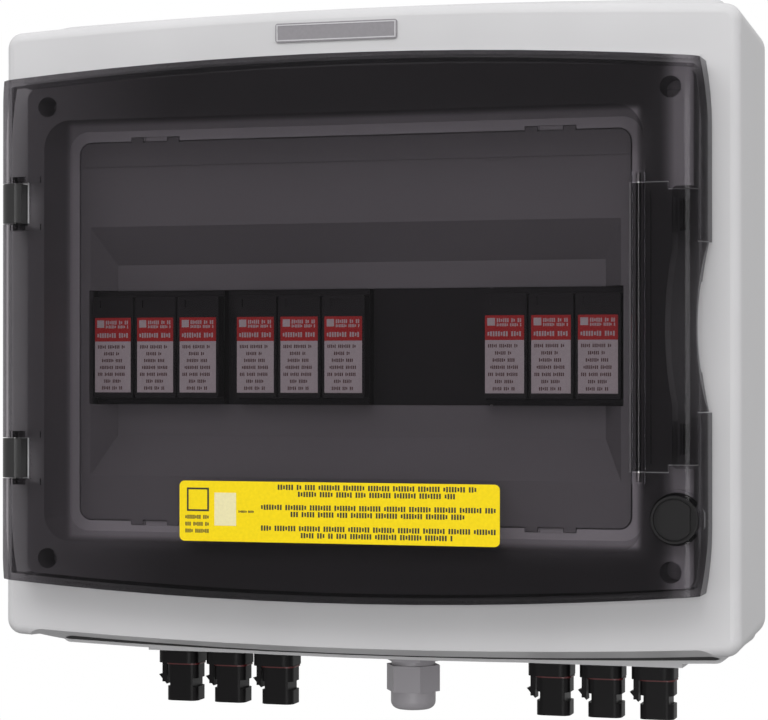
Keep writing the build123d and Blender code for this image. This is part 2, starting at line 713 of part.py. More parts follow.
# ================================================================ rail and devices
def make_din_rail():
    half = RAIL_WIDTH / 2
    channel = RAIL_CHANNEL / 2
    front = RAIL_FRONT
    web = RAIL_FRONT - RAIL_HEIGHT
    start = SLOT_CENTRE_X - RAIL_LENGTH / 2
    end = SLOT_CENTRE_X + RAIL_LENGTH / 2
    pieces = [block(start, end, web, web + RAIL_THICK, RAIL_Z - channel, RAIL_Z + channel)]
    for sign in (-1, 1):
        low, high = sorted((RAIL_Z + sign * channel, RAIL_Z + sign * (channel - RAIL_THICK)))
        pieces.append(block(start, end, web, front, low, high))
        low, high = sorted((RAIL_Z + sign * (channel - RAIL_THICK), RAIL_Z + sign * half))
        pieces.append(block(start, end, front - RAIL_THICK, front, low, high))
    rail = total(pieces)
    slot = SlotOverall(15, 6.2)
    count = int((RAIL_LENGTH - 20) // RAIL_SLOT_PITCH)
    for index in range(count):
        x = SLOT_CENTRE_X + (index - (count - 1) / 2) * RAIL_SLOT_PITCH
        rail = rail - slab(Pos(x, RAIL_Z) * slot, web - 1, web + RAIL_THICK + 1)
    for x, z in rail_posts():
        rail = rail - rod_y(x, z, RAIL_SCREW_DIA / 2 + 0.2, web - 1, web + RAIL_THICK + 1)
    return rail


def make_rail_screws():
    seat = RAIL_FRONT - RAIL_HEIGHT + RAIL_THICK
    screws = []
    for x, z in rail_posts():
        screw = rod_y(x, z, RAIL_SCREW_DIA / 2, seat - RAIL_THICK - 12, seat + 0.5)
        screw = screw + rod_y(x, z, RAIL_SCREW_HEAD_DIA / 2, seat, seat + RAIL_SCREW_HEAD_THICK)
        screw = screw - block(x - 4, x + 4, seat + 1.3, seat + 4, z - 0.5, z + 0.5)
        screws.append(screw)
    return group(screws)


def cartridge_places(left):
    """Centre X of each plug-in cartridge of a device."""
    return [left + MODULE * (index + 0.5) for index in range(DEVICE_POLES)]


def make_device_base(left):
    """Three-pole socket: stepped housing, terminal wells, rail hooks and cartridge bays."""
    right = left + MODULE * DEVICE_POLES
    rear = RAIL_FRONT + 0.2
    half = DEVICE_HEIGHT / 2
    nose = DEVICE_NOSE_HEIGHT / 2
    hook = RAIL_WIDTH / 2 + 0.25
    body = block(left, right, rear, DEVICE_SHOULDER, RAIL_Z - half, RAIL_Z + half)
    body = body + block(left, right, rear, DEVICE_FRONT - 6, RAIL_Z - nose, RAIL_Z + nose)
    for sign in (-1, 1):
        low, high = sorted((RAIL_Z + sign * hook, RAIL_Z + sign * (hook + 5)))
        body = body + block(left + 4, right - 4, RAIL_FRONT - 4.5, rear + 1, low, high)
        low, high = sorted((RAIL_Z + sign * (hook - 1.6), RAIL_Z + sign * (hook + 0.5)))
        lip_back = RAIL_FRONT - RAIL_THICK - 0.2
        body = body + block(left + 4, right - 4, lip_back - 2.6, lip_back, low, high)
    bay_back = DEVICE_FRONT - CARTRIDGE_DEPTH - CARTRIDGE_GAP
    bay_half = CARTRIDGE_HEIGHT / 2 + CARTRIDGE_GAP
    for x in cartridge_places(left):
        width = CARTRIDGE_WIDTH / 2 + CARTRIDGE_GAP / 2
        body = body - block(
            x - width, x + width, bay_back, DEVICE_FRONT + 1, RAIL_Z - bay_half, RAIL_Z + bay_half
        )
        for sign in (-1, 1):
            screw_z = RAIL_Z + sign * (nose + 6.5)
            body = body - rod_y(x, screw_z, 3.4, DEVICE_SHOULDER - 9, DEVICE_SHOULDER + 1)
            low, high = sorted((RAIL_Z + sign * (half - 12), RAIL_Z + sign * (half + 2)))
            body = body - rod_z(x, DEVICE_SHOULDER - 18, 3.6, low, high)
    return body


def make_cartridge(x):
    """Plug-in arrester: rounded front, grip hollows top and bottom, two blades at the rear."""
    half_width = CARTRIDGE_WIDTH / 2
    half_height = CARTRIDGE_HEIGHT / 2
    rear = DEVICE_FRONT - CARTRIDGE_DEPTH
    outline = rounded(x - half_width, x + half_width, RAIL_Z - half_height, RAIL_Z + half_height, 1.0)
    shape = slab(outline, rear, DEVICE_FRONT)
    for sign in (-1, 1):
        grip_z = RAIL_Z + sign * (half_height + 2.0)
        grip = rod_x(x - 6, x + 6, DEVICE_FRONT - 4.5, grip_z, 3.6)
        shape = shape - grip
    shape = shape - block(x - 5.5, x + 5.5, DEVICE_FRONT - 0.8, DEVICE_FRONT + 1, RAIL_Z + 15.6, RAIL_Z + 18.6)
    return shape


def make_blanking_strip(left, right):
    """Cover of unused places in the mask slot, with lips that snap behind the mask."""
    near = left + STRIP_GAP
    far = right - STRIP_GAP
    low = slot_limits()[2]
    high = slot_limits()[3]
    floor = MASK_FRONT - RECESS_DEPTH
    behind = floor - MASK_THICK - 0.1
    face = block(near, far, behind - STRIP_THICK, floor, low + STRIP_GAP, high - STRIP_GAP)
    lips = block(near, far, behind - STRIP_THICK, behind, low - STRIP_LIP, high + STRIP_LIP)
    return face + lips


def rod_x(left, right, distance, z, radius):
    """Cylinder across the front."""
    circle = Plane.YZ.offset(left) * (Pos(-distance, z) * Circle(radius))
    return extrude(circle, amount=right - left)


# ================================================================ door
def door_outline(shrink):
    """Front elevation of the door: arched top and bottom, sides leaning in near the corners."""
    right = DOOR_HALF_WIDTH - shrink
    corner_x = right - DOOR_TAPER
    top = DOOR_TOP - DOOR_RISE - shrink
    low = DOOR_BOTTOM + DOOR_RISE + shrink
    bend_top = top - DOOR_TAPER_HEIGHT
    bend_low = low + DOOR_TAPER_HEIGHT
    lean = DOOR_TAPER * 0.25
    edges = [
        ThreePointArc((-corner_x, top), (0, DOOR_TOP - shrink), (corner_x, top)),
        ThreePointArc((corner_x, top), (right - lean, (top + bend_top) / 2), (right, bend_top)),
        Line((right, bend_top), (right, bend_low)),
        ThreePointArc((right, bend_low), (right - lean, (low + bend_low) / 2), (corner_x, low)),
        ThreePointArc((corner_x, low), (0, DOOR_BOTTOM + shrink), (-corner_x, low)),
        ThreePointArc((-corner_x, low), (-right + lean, (low + bend_low) / 2), (-right, bend_low)),
        Line((-right, bend_low), (-right, bend_top)),
        ThreePointArc((-right, bend_top), (-right + lean, (top + bend_top) / 2), (-corner_x, top)),
    ]
    return Pos(DOOR_CENTRE_X, 0) * make_face(edges)


def door_plan(shrink):
    """Plan section of the door: a flat front with large rounds at both sides."""
    half = DOOR_HALF_WIDTH - shrink
    front = DOOR_FRONT - shrink
    radius = DOOR_SIDE_ROUND - shrink
    back = DOOR_BACK - shrink
    sketch = Pos(DOOR_CENTRE_X, -(front + back) / 2) * Rectangle(2 * half, front - back)
    corners = sketch.vertices().sort_by(Axis.Y)[:2]
    return fillet(corners, radius)


def door_shell():
    """Thin shell of the door with its skirt, before the notches and the handle opening."""
    outside = slab(door_outline(0), DOOR_BACK, DOOR_FRONT) & column(door_plan(0), -CUT_REACH, CUT_REACH)
    inside = slab(door_outline(DOOR_THICK), DOOR_BACK - 1, DOOR_FRONT - DOOR_THICK) & column(
        door_plan(DOOR_THICK), -CUT_REACH, CUT_REACH
    )
    return outside - inside


def handle_window(grow):
    """Opening of the door for the handle, or the handle's own area when shrunk."""
    half = HANDLE_FRAME_HEIGHT / 2
    flap = HANDLE_HEIGHT / 2 + grow
    grip = GRIP_HEIGHT / 2 + grow
    frame = sharp((HANDLE_FRAME_LEFT, HANDLE_FRAME_RIGHT, HANDLE_Z - half, HANDLE_Z + half), 0)
    field = sharp((HANDLE_FRAME_LEFT, HANDLE_RIGHT + grow, HANDLE_Z - flap, HANDLE_Z + flap), 0)
    tongue = sharp((HANDLE_FRAME_LEFT, DOOR_HALF_WIDTH + 5, HANDLE_Z - grip, HANDLE_Z + grip), 0)
    return frame + field + tongue


def hinge_lug(bottom, top):
    """Flat eye on the door that turns on the hinge pin."""
    eye = Pos(HINGE_X, -HINGE_DEPTH) * Circle(HINGE_LUG_RADIUS)
    front = DOOR_FRONT - DOOR_THICK + 0.4
    web = make_face(
        Polyline(
            (HINGE_X + 0.5, -HINGE_DEPTH - 1.2),
            (HINGE_X + HINGE_LUG_REACH, -front + 1.4),
            (HINGE_X + HINGE_LUG_REACH, -front),
            (HINGE_X - 1.0, -front + 0.9),
            close=True,
        ).edges()
    )
    return column(eye + web, bottom, top)


def make_door():
    shape = door_shell()
    shape = shape - block(
        HINGE_X - 15,
        HINGE_X + HINGE_SKIRT_CUT,
        DOOR_BACK - 5,
        DOOR_HINGE_SIDE_BACK,
        DOOR_BOTTOM - 5,
        DOOR_TOP + 5,
    )
    for bottom, top in hinge_columns():
        shape = shape - block(
            HINGE_X - 15,
            HINGE_X + HINGE_NOTCH_REACH,
            DOOR_BACK - 5,
            DOOR_FRONT + 5,
            bottom - HINGE_GAP,
            top + HINGE_GAP,
        )
        shape = shape + hinge_lug(top + HINGE_GAP, top + HINGE_GAP + HINGE_LUG_THICK)
        shape = shape + hinge_lug(bottom - HINGE_GAP - HINGE_LUG_THICK, bottom - HINGE_GAP)
    shape = shape - slab(handle_window(0.0), DOOR_BACK - 5, DOOR_FRONT + 5)
    for bottom, top in handle_lug_spans():
        eye = Pos(HANDLE_AXIS_X, -HANDLE_AXIS_DEPTH) * Circle(HANDLE_BARREL_RADIUS)
        web = Pos(HANDLE_AXIS_X, -(HANDLE_AXIS_DEPTH + DOOR_FRONT - 0.6) / 2) * Rectangle(
            2 * HANDLE_BARREL_RADIUS, DOOR_FRONT - 0.6 - HANDLE_AXIS_DEPTH
        )
        shape = shape + column(eye + web, bottom, top)
    boss = rod_y(LOCK_X, LOCK_Z, LOCK_BOSS_DIA / 2, LOCK_BACK + 1.0, DOOR_FRONT - 0.5)
    shape = shape + (boss & slab(door_outline(0.5), DOOR_BACK, DOOR_FRONT))
    shape = shape - rod_y(LOCK_X, LOCK_Z, LOCK_DIA / 2 + LOCK_HOLE_CLEARANCE, DOOR_BACK - 5, DOOR_FRONT + 5)
    pin = HINGE_PIN_DIA / 2 + HINGE_CLEARANCE
    for bottom, top in hinge_columns():
        shape = shape - rod_z(HINGE_X, HINGE_DEPTH, pin, bottom - 8, top + 8)
    low, high = handle_pin_ends()
    shape = shape - rod_z(
        HANDLE_AXIS_X, HANDLE_AXIS_DEPTH, HANDLE_PIN_DIA / 2 + HANDLE_PIN_CLEARANCE, low, high
    )
    return shape


def handle_lug_spans():
    """Height spans of the two eyes on the door that carry the handle pin."""
    half = HANDLE_FRAME_HEIGHT / 2
    return (
        (HANDLE_Z - half - HANDLE_LUG_HEIGHT, HANDLE_Z - half),
        (HANDLE_Z + half, HANDLE_Z + half + HANDLE_LUG_HEIGHT),
    )


def handle_pin_ends():
    reach = HANDLE_FRAME_HEIGHT / 2 + HANDLE_LUG_HEIGHT - 1.0
    return HANDLE_Z - reach, HANDLE_Z + reach


def make_handle():
    half = HANDLE_HEIGHT / 2
    grip = GRIP_HEIGHT / 2
    low = HANDLE_Z - half + HANDLE_GAP
    high = HANDLE_Z + half - HANDLE_GAP
    plate = sharp((HANDLE_PLATE_LEFT, HANDLE_RIGHT - HANDLE_GAP, low, high), 0)
    tongue_low = HANDLE_Z - grip + HANDLE_GAP
    tongue_high = HANDLE_Z + grip - HANDLE_GAP
    door_right = DOOR_CENTRE_X + DOOR_HALF_WIDTH
    tongue = sharp((HANDLE_PLATE_LEFT, door_right, tongue_low, tongue_high), 0)
    frame = HANDLE_FRAME_HEIGHT / 2 - HANDLE_GAP
    ears = sharp(
        (HANDLE_PLATE_LEFT, HANDLE_FRAME_RIGHT - HANDLE_GAP, HANDLE_Z - frame, HANDLE_Z + frame), 0
    )
    hollow = make_face(
        [
            ThreePointArc(
                (door_right + 0.2, HANDLE_Z - grip),
                (door_right - GRIP_HOLLOW, HANDLE_Z),
                (door_right + 0.2, HANDLE_Z + grip),
            ),
            Line((door_right + 0.2, HANDLE_Z + grip), (door_right + 0.2, HANDLE_Z - grip)),
        ]
    )
    front = slab((plate + tongue + ears) - hollow, GRIP_BACK, DOOR_FRONT)
    skin = column(door_plan(0), -CUT_REACH, CUT_REACH) - column(door_plan(DOOR_THICK), -CUT_REACH, CUT_REACH)
    shape = front & skin
    barrel = rod_z(HANDLE_AXIS_X, HANDLE_AXIS_DEPTH, HANDLE_BARREL_RADIUS, HANDLE_Z - frame, HANDLE_Z + frame)
    web = block(
        HANDLE_AXIS_X,
        HANDLE_PLATE_LEFT + 1.5,
        HANDLE_AXIS_DEPTH - 0.6,
        DOOR_FRONT - DOOR_THICK + 0.6,
        low,
        high,
    )
    shape = shape + barrel + web
    for z in HOOK_Z:
        shape = shape + hook(z)
    return shape - rod_z(
        HANDLE_AXIS_X, HANDLE_AXIS_DEPTH, HANDLE_PIN_DIA / 2 + HANDLE_PIN_CLEARANCE, -CUT_REACH, CUT_REACH
    )


def hook(z):
    """Springy arm behind the handle with a bead that snaps past the catch rib."""
    half = HOOK_HEIGHT / 2
    arm = block(HOOK_X - HOOK_THICK / 2, HOOK_X + HOOK_THICK / 2, HOOK_BACK, DOOR_FRONT - 1, z - half, z + half)
    left = HOOK_X - HOOK_THICK / 2
    tip = CATCH_X + CATCH_REACH + CATCH_CLEARANCE
    bead = make_face(
        Polyline(
            (left + 0.3, -HOOK_BACK),
            (tip, -HOOK_BACK - 0.6),
            (tip, -HOOK_BACK - 1.2),
            (left + 0.3, -HOOK_BACK - 2.6),
            close=True,
        ).edges()
    )
    return arm + column(bead, z - half, z + half)


def make_handle_pin():
    low, high = handle_pin_ends()
    return rod_z(HANDLE_AXIS_X, HANDLE_AXIS_DEPTH, HANDLE_PIN_DIA / 2, low + 0.2, high - 0.2)


def make_hinge_block(bottom, top):
    """Knuckle that stands on the cover and holds the hinge pin."""
    eye = Pos(HINGE_X, -HINGE_DEPTH) * Circle(HINGE_BLOCK_RADIUS)
    eye = eye & door_plan(0) & sharp((HINGE_X - CUT_REACH, HINGE_X + HINGE_BLOCK_RIGHT, -CUT_REACH, 0), 0)
    foot = Pos(HINGE_X, -(COVER_FRONT + HINGE_DEPTH) / 2) * Rectangle(
        HINGE_FOOT_WIDTH, HINGE_DEPTH - COVER_FRONT
    )
    shape = column(eye + foot, bottom, top)
    return shape - rod_z(HINGE_X, HINGE_DEPTH, HINGE_PIN_DIA / 2 + 0.01, bottom - 1, top + 1)


def make_hinge_pin(bottom, top):
    reach = HINGE_GAP + HINGE_LUG_THICK
    return rod_z(HINGE_X, HINGE_DEPTH, HINGE_PIN_DIA / 2, bottom - reach, top + reach)


def make_lock_plug():
    """Blanking plug of the lock opening: cup with a raised double-D island and a rear flange."""
    face = DOOR_FRONT
    floor = face - LOCK_RECESS
    shape = rod_y(LOCK_X, LOCK_Z, LOCK_DIA / 2, LOCK_BACK, face)
    shape = shape - rod_y(LOCK_X, LOCK_Z, LOCK_DIA / 2 - 0.9, floor, face + 1)
    island = Pos(LOCK_X, LOCK_Z) * (
        Circle(LOCK_ISLAND_DIA / 2) & Rectangle(LOCK_ISLAND_WIDTH, LOCK_ISLAND_DIA + 2)
    )
    shape = shape + slab(island, floor - 0.3, face - 0.3)
    flange = rod_y(LOCK_X, LOCK_Z, LOCK_DIA / 2 + 0.9, LOCK_BACK, LOCK_BACK + 1.0)
    return shape + (flange & slab(door_outline(DOOR_THICK + 1.4), LOCK_BACK - 1, LOCK_BACK + 2))


# ================================================================ plates
def plate(x, z, width, height, back, thick, corner):
    return slab(Pos(x, z) * RectangleRounded(width, height, corner), back, back + thick)


# ================================================================ inlets
def string_place(index):
    return STRING_X[index], ENTRY_DEPTH


def centred(x, distance, width, depth, corner):
    """Rounded rectangle in plan about an upright axis."""
    return Pos(x, -distance) * RectangleRounded(width, depth, corner)


def make_string_inlet(x):
    """Panel-mounted plug housing: flange, square barrel with waist and end lip, one snap arm."""
    body = column(
        centred(x, ENTRY_DEPTH, STRING_BODY_X, STRING_BODY_Y, STRING_BODY_CORNER),
        STRING_BOTTOM,
        STRING_FLANGE_BOTTOM + 0.5,
    )
    for sign in (-1, 1):
        edge = x + sign * STRING_BODY_X / 2
        low, high = sorted((edge - sign * STRING_WAIST_CUT, edge + sign * 2))
        body = body - block(
            low, high, ENTRY_DEPTH - 10, ENTRY_DEPTH + 10, STRING_WAIST_BOTTOM, STRING_WAIST_TOP
        )
    flange_top = PAD_BOTTOM - STRING_SEAL_THICK
    middle = x + (STRING_FLANGE_RIGHT - STRING_FLANGE_LEFT) / 2
    width = STRING_FLANGE_LEFT + STRING_FLANGE_RIGHT
    depth = 2 * STRING_FLANGE_HALF_DEPTH
    collar = column(centred(middle, ENTRY_DEPTH, width, depth, 4.0), STRING_FLANGE_BOTTOM, flange_top)
    spigot = rod_z(x, ENTRY_DEPTH, STRING_SPIGOT_DIA / 2, flange_top - 1, STRING_SPIGOT_TOP)
    arm_x = x - STRING_ARM_X
    arm = block(
        arm_x - STRING_ARM_THICK / 2,
        arm_x + STRING_ARM_THICK / 2,
        ENTRY_DEPTH - STRING_ARM_WIDTH / 2,
        ENTRY_DEPTH + STRING_ARM_WIDTH / 2,
        STRING_ARM_BOTTOM,
        STRING_FLANGE_BOTTOM + 0.5,
    )
    outer = arm_x - STRING_ARM_THICK / 2
    barb = extrude(
        Plane.XZ.offset(ENTRY_DEPTH - STRING_ARM_WIDTH / 2)
        * make_face(
            Polyline(
                (outer + 0.2, STRING_ARM_BOTTOM + 3.4),
                (outer - STRING_ARM_BARB, STRING_ARM_BOTTOM + 3.0),
                (outer + STRING_ARM_THICK, STRING_ARM_BOTTOM - 0.9),
                (outer + STRING_ARM_THICK, STRING_ARM_BOTTOM + 3.4),
                close=True,
            ).edges()
        ),
        amount=STRING_ARM_WIDTH,
    )
    shape = body + collar + spigot + arm + barb
    shape = shape - rod_z(x, ENTRY_DEPTH, STRING_BORE_DIA / 2, STRING_BOTTOM - 1, STRING_BORE_TOP)
    shape = shape - rod_z(
        x, ENTRY_DEPTH, CONTACT_TAIL_DIA / 2 + 0.02, STRING_BORE_TOP + 3, STRING_SPIGOT_TOP + 1
    )
    return shape - rod_z(x, ENTRY_DEPTH, CONTACT_DIA / 2 + 0.02, STRING_BORE_TOP - 1, STRING_BORE_TOP + 4)


def make_string_contacts():
    contacts = []
    for x in STRING_X:
        pin = rod_z(x, ENTRY_DEPTH, CONTACT_DIA / 2, STRING_BORE_TOP + 0.6, STRING_BORE_TOP + 3.5)
        tail = rod_z(x, ENTRY_DEPTH, CONTACT_TAIL_DIA / 2, STRING_BORE_TOP + 3.0, CONTACT_TAIL_TOP)
        contacts.append(pin + tail)
    return group(contacts)


def make_string_rings():
    """Coloured ring round each barrel just under the flange."""
    rings = []
    for x in STRING_X:
        width = STRING_BODY_X + 0.9
        depth = STRING_BODY_Y + 0.9
        ring = centred(x, ENTRY_DEPTH, width, depth, STRING_BODY_CORNER + 0.45) - centred(
            x, ENTRY_DEPTH, STRING_BODY_X + 0.04, STRING_BODY_Y + 0.04, STRING_BODY_CORNER + 0.02
        )
        rings.append(column(ring, STRING_RING_Z - STRING_RING_THICK / 2, STRING_RING_Z + STRING_RING_THICK / 2))
    return group(rings)


def make_string_seals():
    seals = []
    for x in STRING_X:
        middle = x + (STRING_FLANGE_RIGHT - STRING_FLANGE_LEFT) / 2
        width = STRING_FLANGE_LEFT + STRING_FLANGE_RIGHT - 1.0
        ring = centred(middle, ENTRY_DEPTH, width, 2 * STRING_FLANGE_HALF_DEPTH - 1.0, 3.5)
        hole = Pos(x, -ENTRY_DEPTH) * Circle(STRING_SPIGOT_DIA / 2 + 0.3)
        seals.append(column(ring - hole, PAD_BOTTOM - STRING_SEAL_THICK, PAD_BOTTOM))
    return group(seals)


def hex_nut(x, across, thick, bottom, hole_dia):
    hexagon = RegularPolygon(across / 2, 6, major_radius=False)
    nut = column(Pos(x, -ENTRY_DEPTH) * (hexagon - Circle(hole_dia / 2)), bottom, bottom + thick)
    return nut


def make_string_nuts():
    return group(
        [
            hex_nut(x, STRING_NUT_ACROSS, STRING_NUT_THICK, PAD_TOP, STRING_SPIGOT_DIA + THREAD_CLEARANCE)
            for x in STRING_X
        ]
    )


# ================================================================ cable gland
def make_gland_body():
    collar_top = PAD_BOTTOM
    hexagon = RegularPolygon(GLAND_HEX / 2, 6, major_radius=False)
    shape = column(Pos(GLAND_X, -ENTRY_DEPTH) * hexagon, collar_top - GLAND_COLLAR_THICK, collar_top)
    shape = shape + rod_z(GLAND_X, ENTRY_DEPTH, GLAND_SPIGOT_DIA / 2, collar_top - 1, GLAND_SPIGOT_TOP)
    neck_low = GLAND_NUT_TOP
    shape = shape + rod_z(GLAND_X, ENTRY_DEPTH, GLAND_NECK_DIA / 2, neck_low, collar_top - 1)
    shape = shape + rod_z(GLAND_X, ENTRY_DEPTH, GLAND_INSERT_DIA / 2 + 1.2, neck_low - 6, neck_low + 1)
    shape = shape - rod_z(GLAND_X, ENTRY_DEPTH, GLAND_CABLE_DIA / 2 + 1.0, -CUT_REACH, 0)
    return shape - rod_z(GLAND_X, ENTRY_DEPTH, GLAND_INSERT_DIA / 2 + 0.05, -CUT_REACH, neck_low + 2)


def make_gland_nut():
    hexagon = RegularPolygon(GLAND_HEX / 2, 6, major_radius=False)
    shape = column(Pos(GLAND_X, -ENTRY_DEPTH) * hexagon, GLAND_NUT_HEX_BOTTOM, GLAND_NUT_TOP)
    dome = column(
        Pos(GLAND_X, -ENTRY_DEPTH) * Circle(GLAND_DOME_DIA / 2), GLAND_NUT_BOTTOM, GLAND_NUT_HEX_BOTTOM
    )
    rim = dome.edges().sort_by(Axis.Z)[0]
    dome = fillet(rim, 3.2)
    shape = shape + dome
    bore = GLAND_INSERT_DIA / 2 + 1.2 + THREAD_CLEARANCE / 2
    shape = shape - rod_z(GLAND_X, ENTRY_DEPTH, bore, GLAND_NUT_TOP - 6.2, GLAND_NUT_TOP + 1)
    return shape - rod_z(GLAND_X, ENTRY_DEPTH, GLAND_CABLE_DIA / 2 + 0.6, -CUT_REACH, 0)


def make_gland_seal():
    """Rubber insert squeezed between the body and the dome nut."""
    top = GLAND_NUT_TOP + 1.5
    ring = Pos(GLAND_X, -ENTRY_DEPTH) * (Circle(GLAND_INSERT_DIA / 2) - Circle(GLAND_CABLE_DIA / 2))
    return column(ring, GLAND_NUT_TOP - 6.1, top)


# ================================================================ earth bar
def make_earth_bar():
    half = EARTH_LENGTH / 2
    bar = block(
        EARTH_X - half,
        EARTH_X + half,
        EARTH_STAND,
        EARTH_STAND + EARTH_THICK,
        EARTH_Z - EARTH_HEIGHT / 2,
        EARTH_Z + EARTH_HEIGHT / 2,
    )
    for x in earth_ways():
        bar = bar - rod_y(x, EARTH_Z, EARTH_SCREW_DIA / 2 + 0.05, EARTH_STAND - 1, EARTH_STAND + EARTH_THICK + 1)
    return bar


def earth_ways():
    pitch = (EARTH_LENGTH - 2 * EARTH_END) / (EARTH_WAYS - 1)
    return [EARTH_X + (index - (EARTH_WAYS - 1) / 2) * pitch for index in range(EARTH_WAYS)]


def make_earth_screws():
    screws = []
    front = EARTH_STAND + EARTH_THICK
    for x in earth_ways():
        screw = rod_y(x, EARTH_Z, EARTH_SCREW_DIA / 2, EARTH_STAND + 1.5, front + 1.2)
        screws.append(screw - block(x - 3, x + 3, front + 0.4, front + 2, EARTH_Z - 0.4, EARTH_Z + 0.4))
    return group(screws)


# ================================================================ write every piece
def build():
    hinge_upper, hinge_lower = hinge_columns()
    parts = {
        "base_box": make_base_box(),
        "front_cover": make_front_cover(),
        "cover_seal": make_cover_seal(),
        "cover_screws": make_cover_screws(),
        "device_mask": make_mask(),
        "din_rail": make_din_rail(),
        "rail_screws": make_rail_screws(),
        "door": make_door(),
        "latch_handle": make_handle(),
        "latch_handle_pin": make_handle_pin(),
        "hinge_block_upper": make_hinge_block(*hinge_upper),
        "hinge_block_lower": make_hinge_block(*hinge_lower),
        "hinge_pin_upper": make_hinge_pin(*hinge_upper),
        "hinge_pin_lower": make_hinge_pin(*hinge_lower),
        "lock_plug": make_lock_plug(),
        "string_seals": make_string_seals(),
        "string_rings": make_string_rings(),
        "string_nuts": make_string_nuts(),
        "string_contacts": make_string_contacts(),
        "gland_body": make_gland_body(),
        "gland_dome_nut": make_gland_nut(),
        "gland_seal": make_gland_seal(),
        "gland_locknut": hex_nut(
            GLAND_X, GLAND_LOCKNUT_ACROSS, GLAND_LOCKNUT_THICK, PAD_TOP, GLAND_SPIGOT_DIA + THREAD_CLEARANCE
        ),
        "earth_bar": make_earth_bar(),
        "earth_bar_screws": make_earth_screws(),
        "door_label": plate(
            DOOR_LABEL_X, DOOR_LABEL_Z, DOOR_LABEL_WIDTH, DOOR_LABEL_HEIGHT, DOOR_FRONT, DOOR_LABEL_THICK, 2.0
        ),
        "name_plate": plate(
            NAME_PLATE_X, NAME_PLATE_Z, NAME_PLATE_WIDTH, NAME_PLATE_HEIGHT, COVER_FRONT, NAME_PLATE_THICK, 1.0
        ),
    }
    for number, left in enumerate(DEVICE_LEFT, start=1):
        parts[f"arrester_base_{number}"] = make_device_base(left)
        for pole, x in enumerate(cartridge_places(left), start=1):
            parts[f"arrester_cartridge_{number}_{pole}"] = make_cartridge(x)
    device_width = MODULE * DEVICE_POLES
    parts["blanking_strip_narrow"] = make_blanking_strip(DEVICE_LEFT[0] + device_width, DEVICE_LEFT[1])
    parts["blanking_strip_wide"] = make_blanking_strip(DEVICE_LEFT[1] + device_width, DEVICE_LEFT[2])
    for number, x in enumerate(STRING_X, start=1):
        parts[f"string_inlet_{number}"] = make_string_inlet(x)
    return parts


if __name__ == "__main__":
    os.makedirs("parts", exist_ok=True)
    for name, shape in build().items():
        export_step(shape, f"parts/{name}.step")
        print(name, len(shape.solids()), round(shape.volume))
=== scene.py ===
"""Finishes, prints, lamps and camera of a wall-mounted photovoltaic junction box.

They are built round the box's CAD frame.
"""
import math

import bmesh
import bpy
from mathutils import Matrix, Vector


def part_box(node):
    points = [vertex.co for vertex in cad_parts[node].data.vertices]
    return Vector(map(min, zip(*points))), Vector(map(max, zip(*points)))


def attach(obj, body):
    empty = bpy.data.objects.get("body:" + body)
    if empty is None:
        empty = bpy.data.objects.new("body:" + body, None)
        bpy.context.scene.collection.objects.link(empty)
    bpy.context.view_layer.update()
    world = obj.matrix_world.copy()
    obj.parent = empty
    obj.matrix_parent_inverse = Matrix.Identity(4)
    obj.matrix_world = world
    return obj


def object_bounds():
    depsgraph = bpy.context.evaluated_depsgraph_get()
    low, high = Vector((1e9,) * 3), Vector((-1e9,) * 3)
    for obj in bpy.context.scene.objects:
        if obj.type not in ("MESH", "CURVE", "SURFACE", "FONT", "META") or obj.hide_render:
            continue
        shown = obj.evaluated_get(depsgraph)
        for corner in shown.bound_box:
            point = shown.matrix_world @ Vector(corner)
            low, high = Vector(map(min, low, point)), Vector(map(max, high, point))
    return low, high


bl_info = {
    "name": "Photovoltaic Junction Box",
    "version": (1, 0, 0),
    "blender": (4, 5, 0),
    "location": "View3D > Sidebar > Junction Box",
    "description": "Dresses the CAD model of a string junction box with finishes, prints and a studio",
    "category": "Object",
}

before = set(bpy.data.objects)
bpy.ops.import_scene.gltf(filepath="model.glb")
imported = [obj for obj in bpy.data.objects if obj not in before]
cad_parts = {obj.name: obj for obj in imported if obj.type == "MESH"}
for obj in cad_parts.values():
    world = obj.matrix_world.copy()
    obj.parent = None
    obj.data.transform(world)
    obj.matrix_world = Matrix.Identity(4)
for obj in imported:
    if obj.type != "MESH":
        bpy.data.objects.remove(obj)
CAD_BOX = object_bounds()
MM = 0.001

# smoked door: the stretch of X that its painted shade and painted reflection run over, and the share of the
# rim's clearness along it: lighter stops are painted reflection near the door's edges, darker ones painted
# shade round the well
PAINTED_SHADE_SPAN = (-142 * MM, 138 * MM)
PAINTED_SHADE_AND_REFLECTION_BANDS = (
    (-134 * MM, 0.5),
    (-118 * MM, 0.42),
    (-70 * MM, 0.05),
    (115 * MM, 0.0),
    (121 * MM, 0.05),
    (126 * MM, 1.0),
    (132 * MM, 1.0),
    (134 * MM, 0.0),
)
# smoke passes a little less green than red and blue
SMOKE_GREEN = 0.975

# widths of the largest features of each surface
FLOW_MARKS = 60 * MM
PLATING_CLOUDS = 6 * MM
DRAWING_MARKS = 0.4 * MM
RUBBER_BLOOM = 10 * MM
RUBBER_TOOTH = 0.8 * MM
PANE_RIPPLE = 50 * MM
FILM_TOOTH = 1.2 * MM

# thickness of a label's film, of the ink on it, and of the ink on the notice
FILM = 0.12 * MM
INK = 0.04 * MM
NOTICE_INK = 0.05 * MM

# cartridge label: its drop below the cartridge's top, then for each row on its red field the insets
# from its left and right edges, the drop of the row below its top, the row's height and its seed
LABEL_DROP = 8.3 * MM
RED_ROWS = (
    (4.6 * MM, 0.8 * MM, 1.9 * MM, 1.5 * MM, 3),
    (4.6 * MM, 0.8 * MM, 3.6 * MM, 1.2 * MM, 4),
    (1.0 * MM, 1.0 * MM, 7.0 * MM, 1.9 * MM, 5),
)
# pale square on the red field: left and right from the label's left edge, bottom and top from its top
RED_SQUARE = (0.9 * MM, 3.9 * MM, -3.9 * MM, -1.0 * MM)
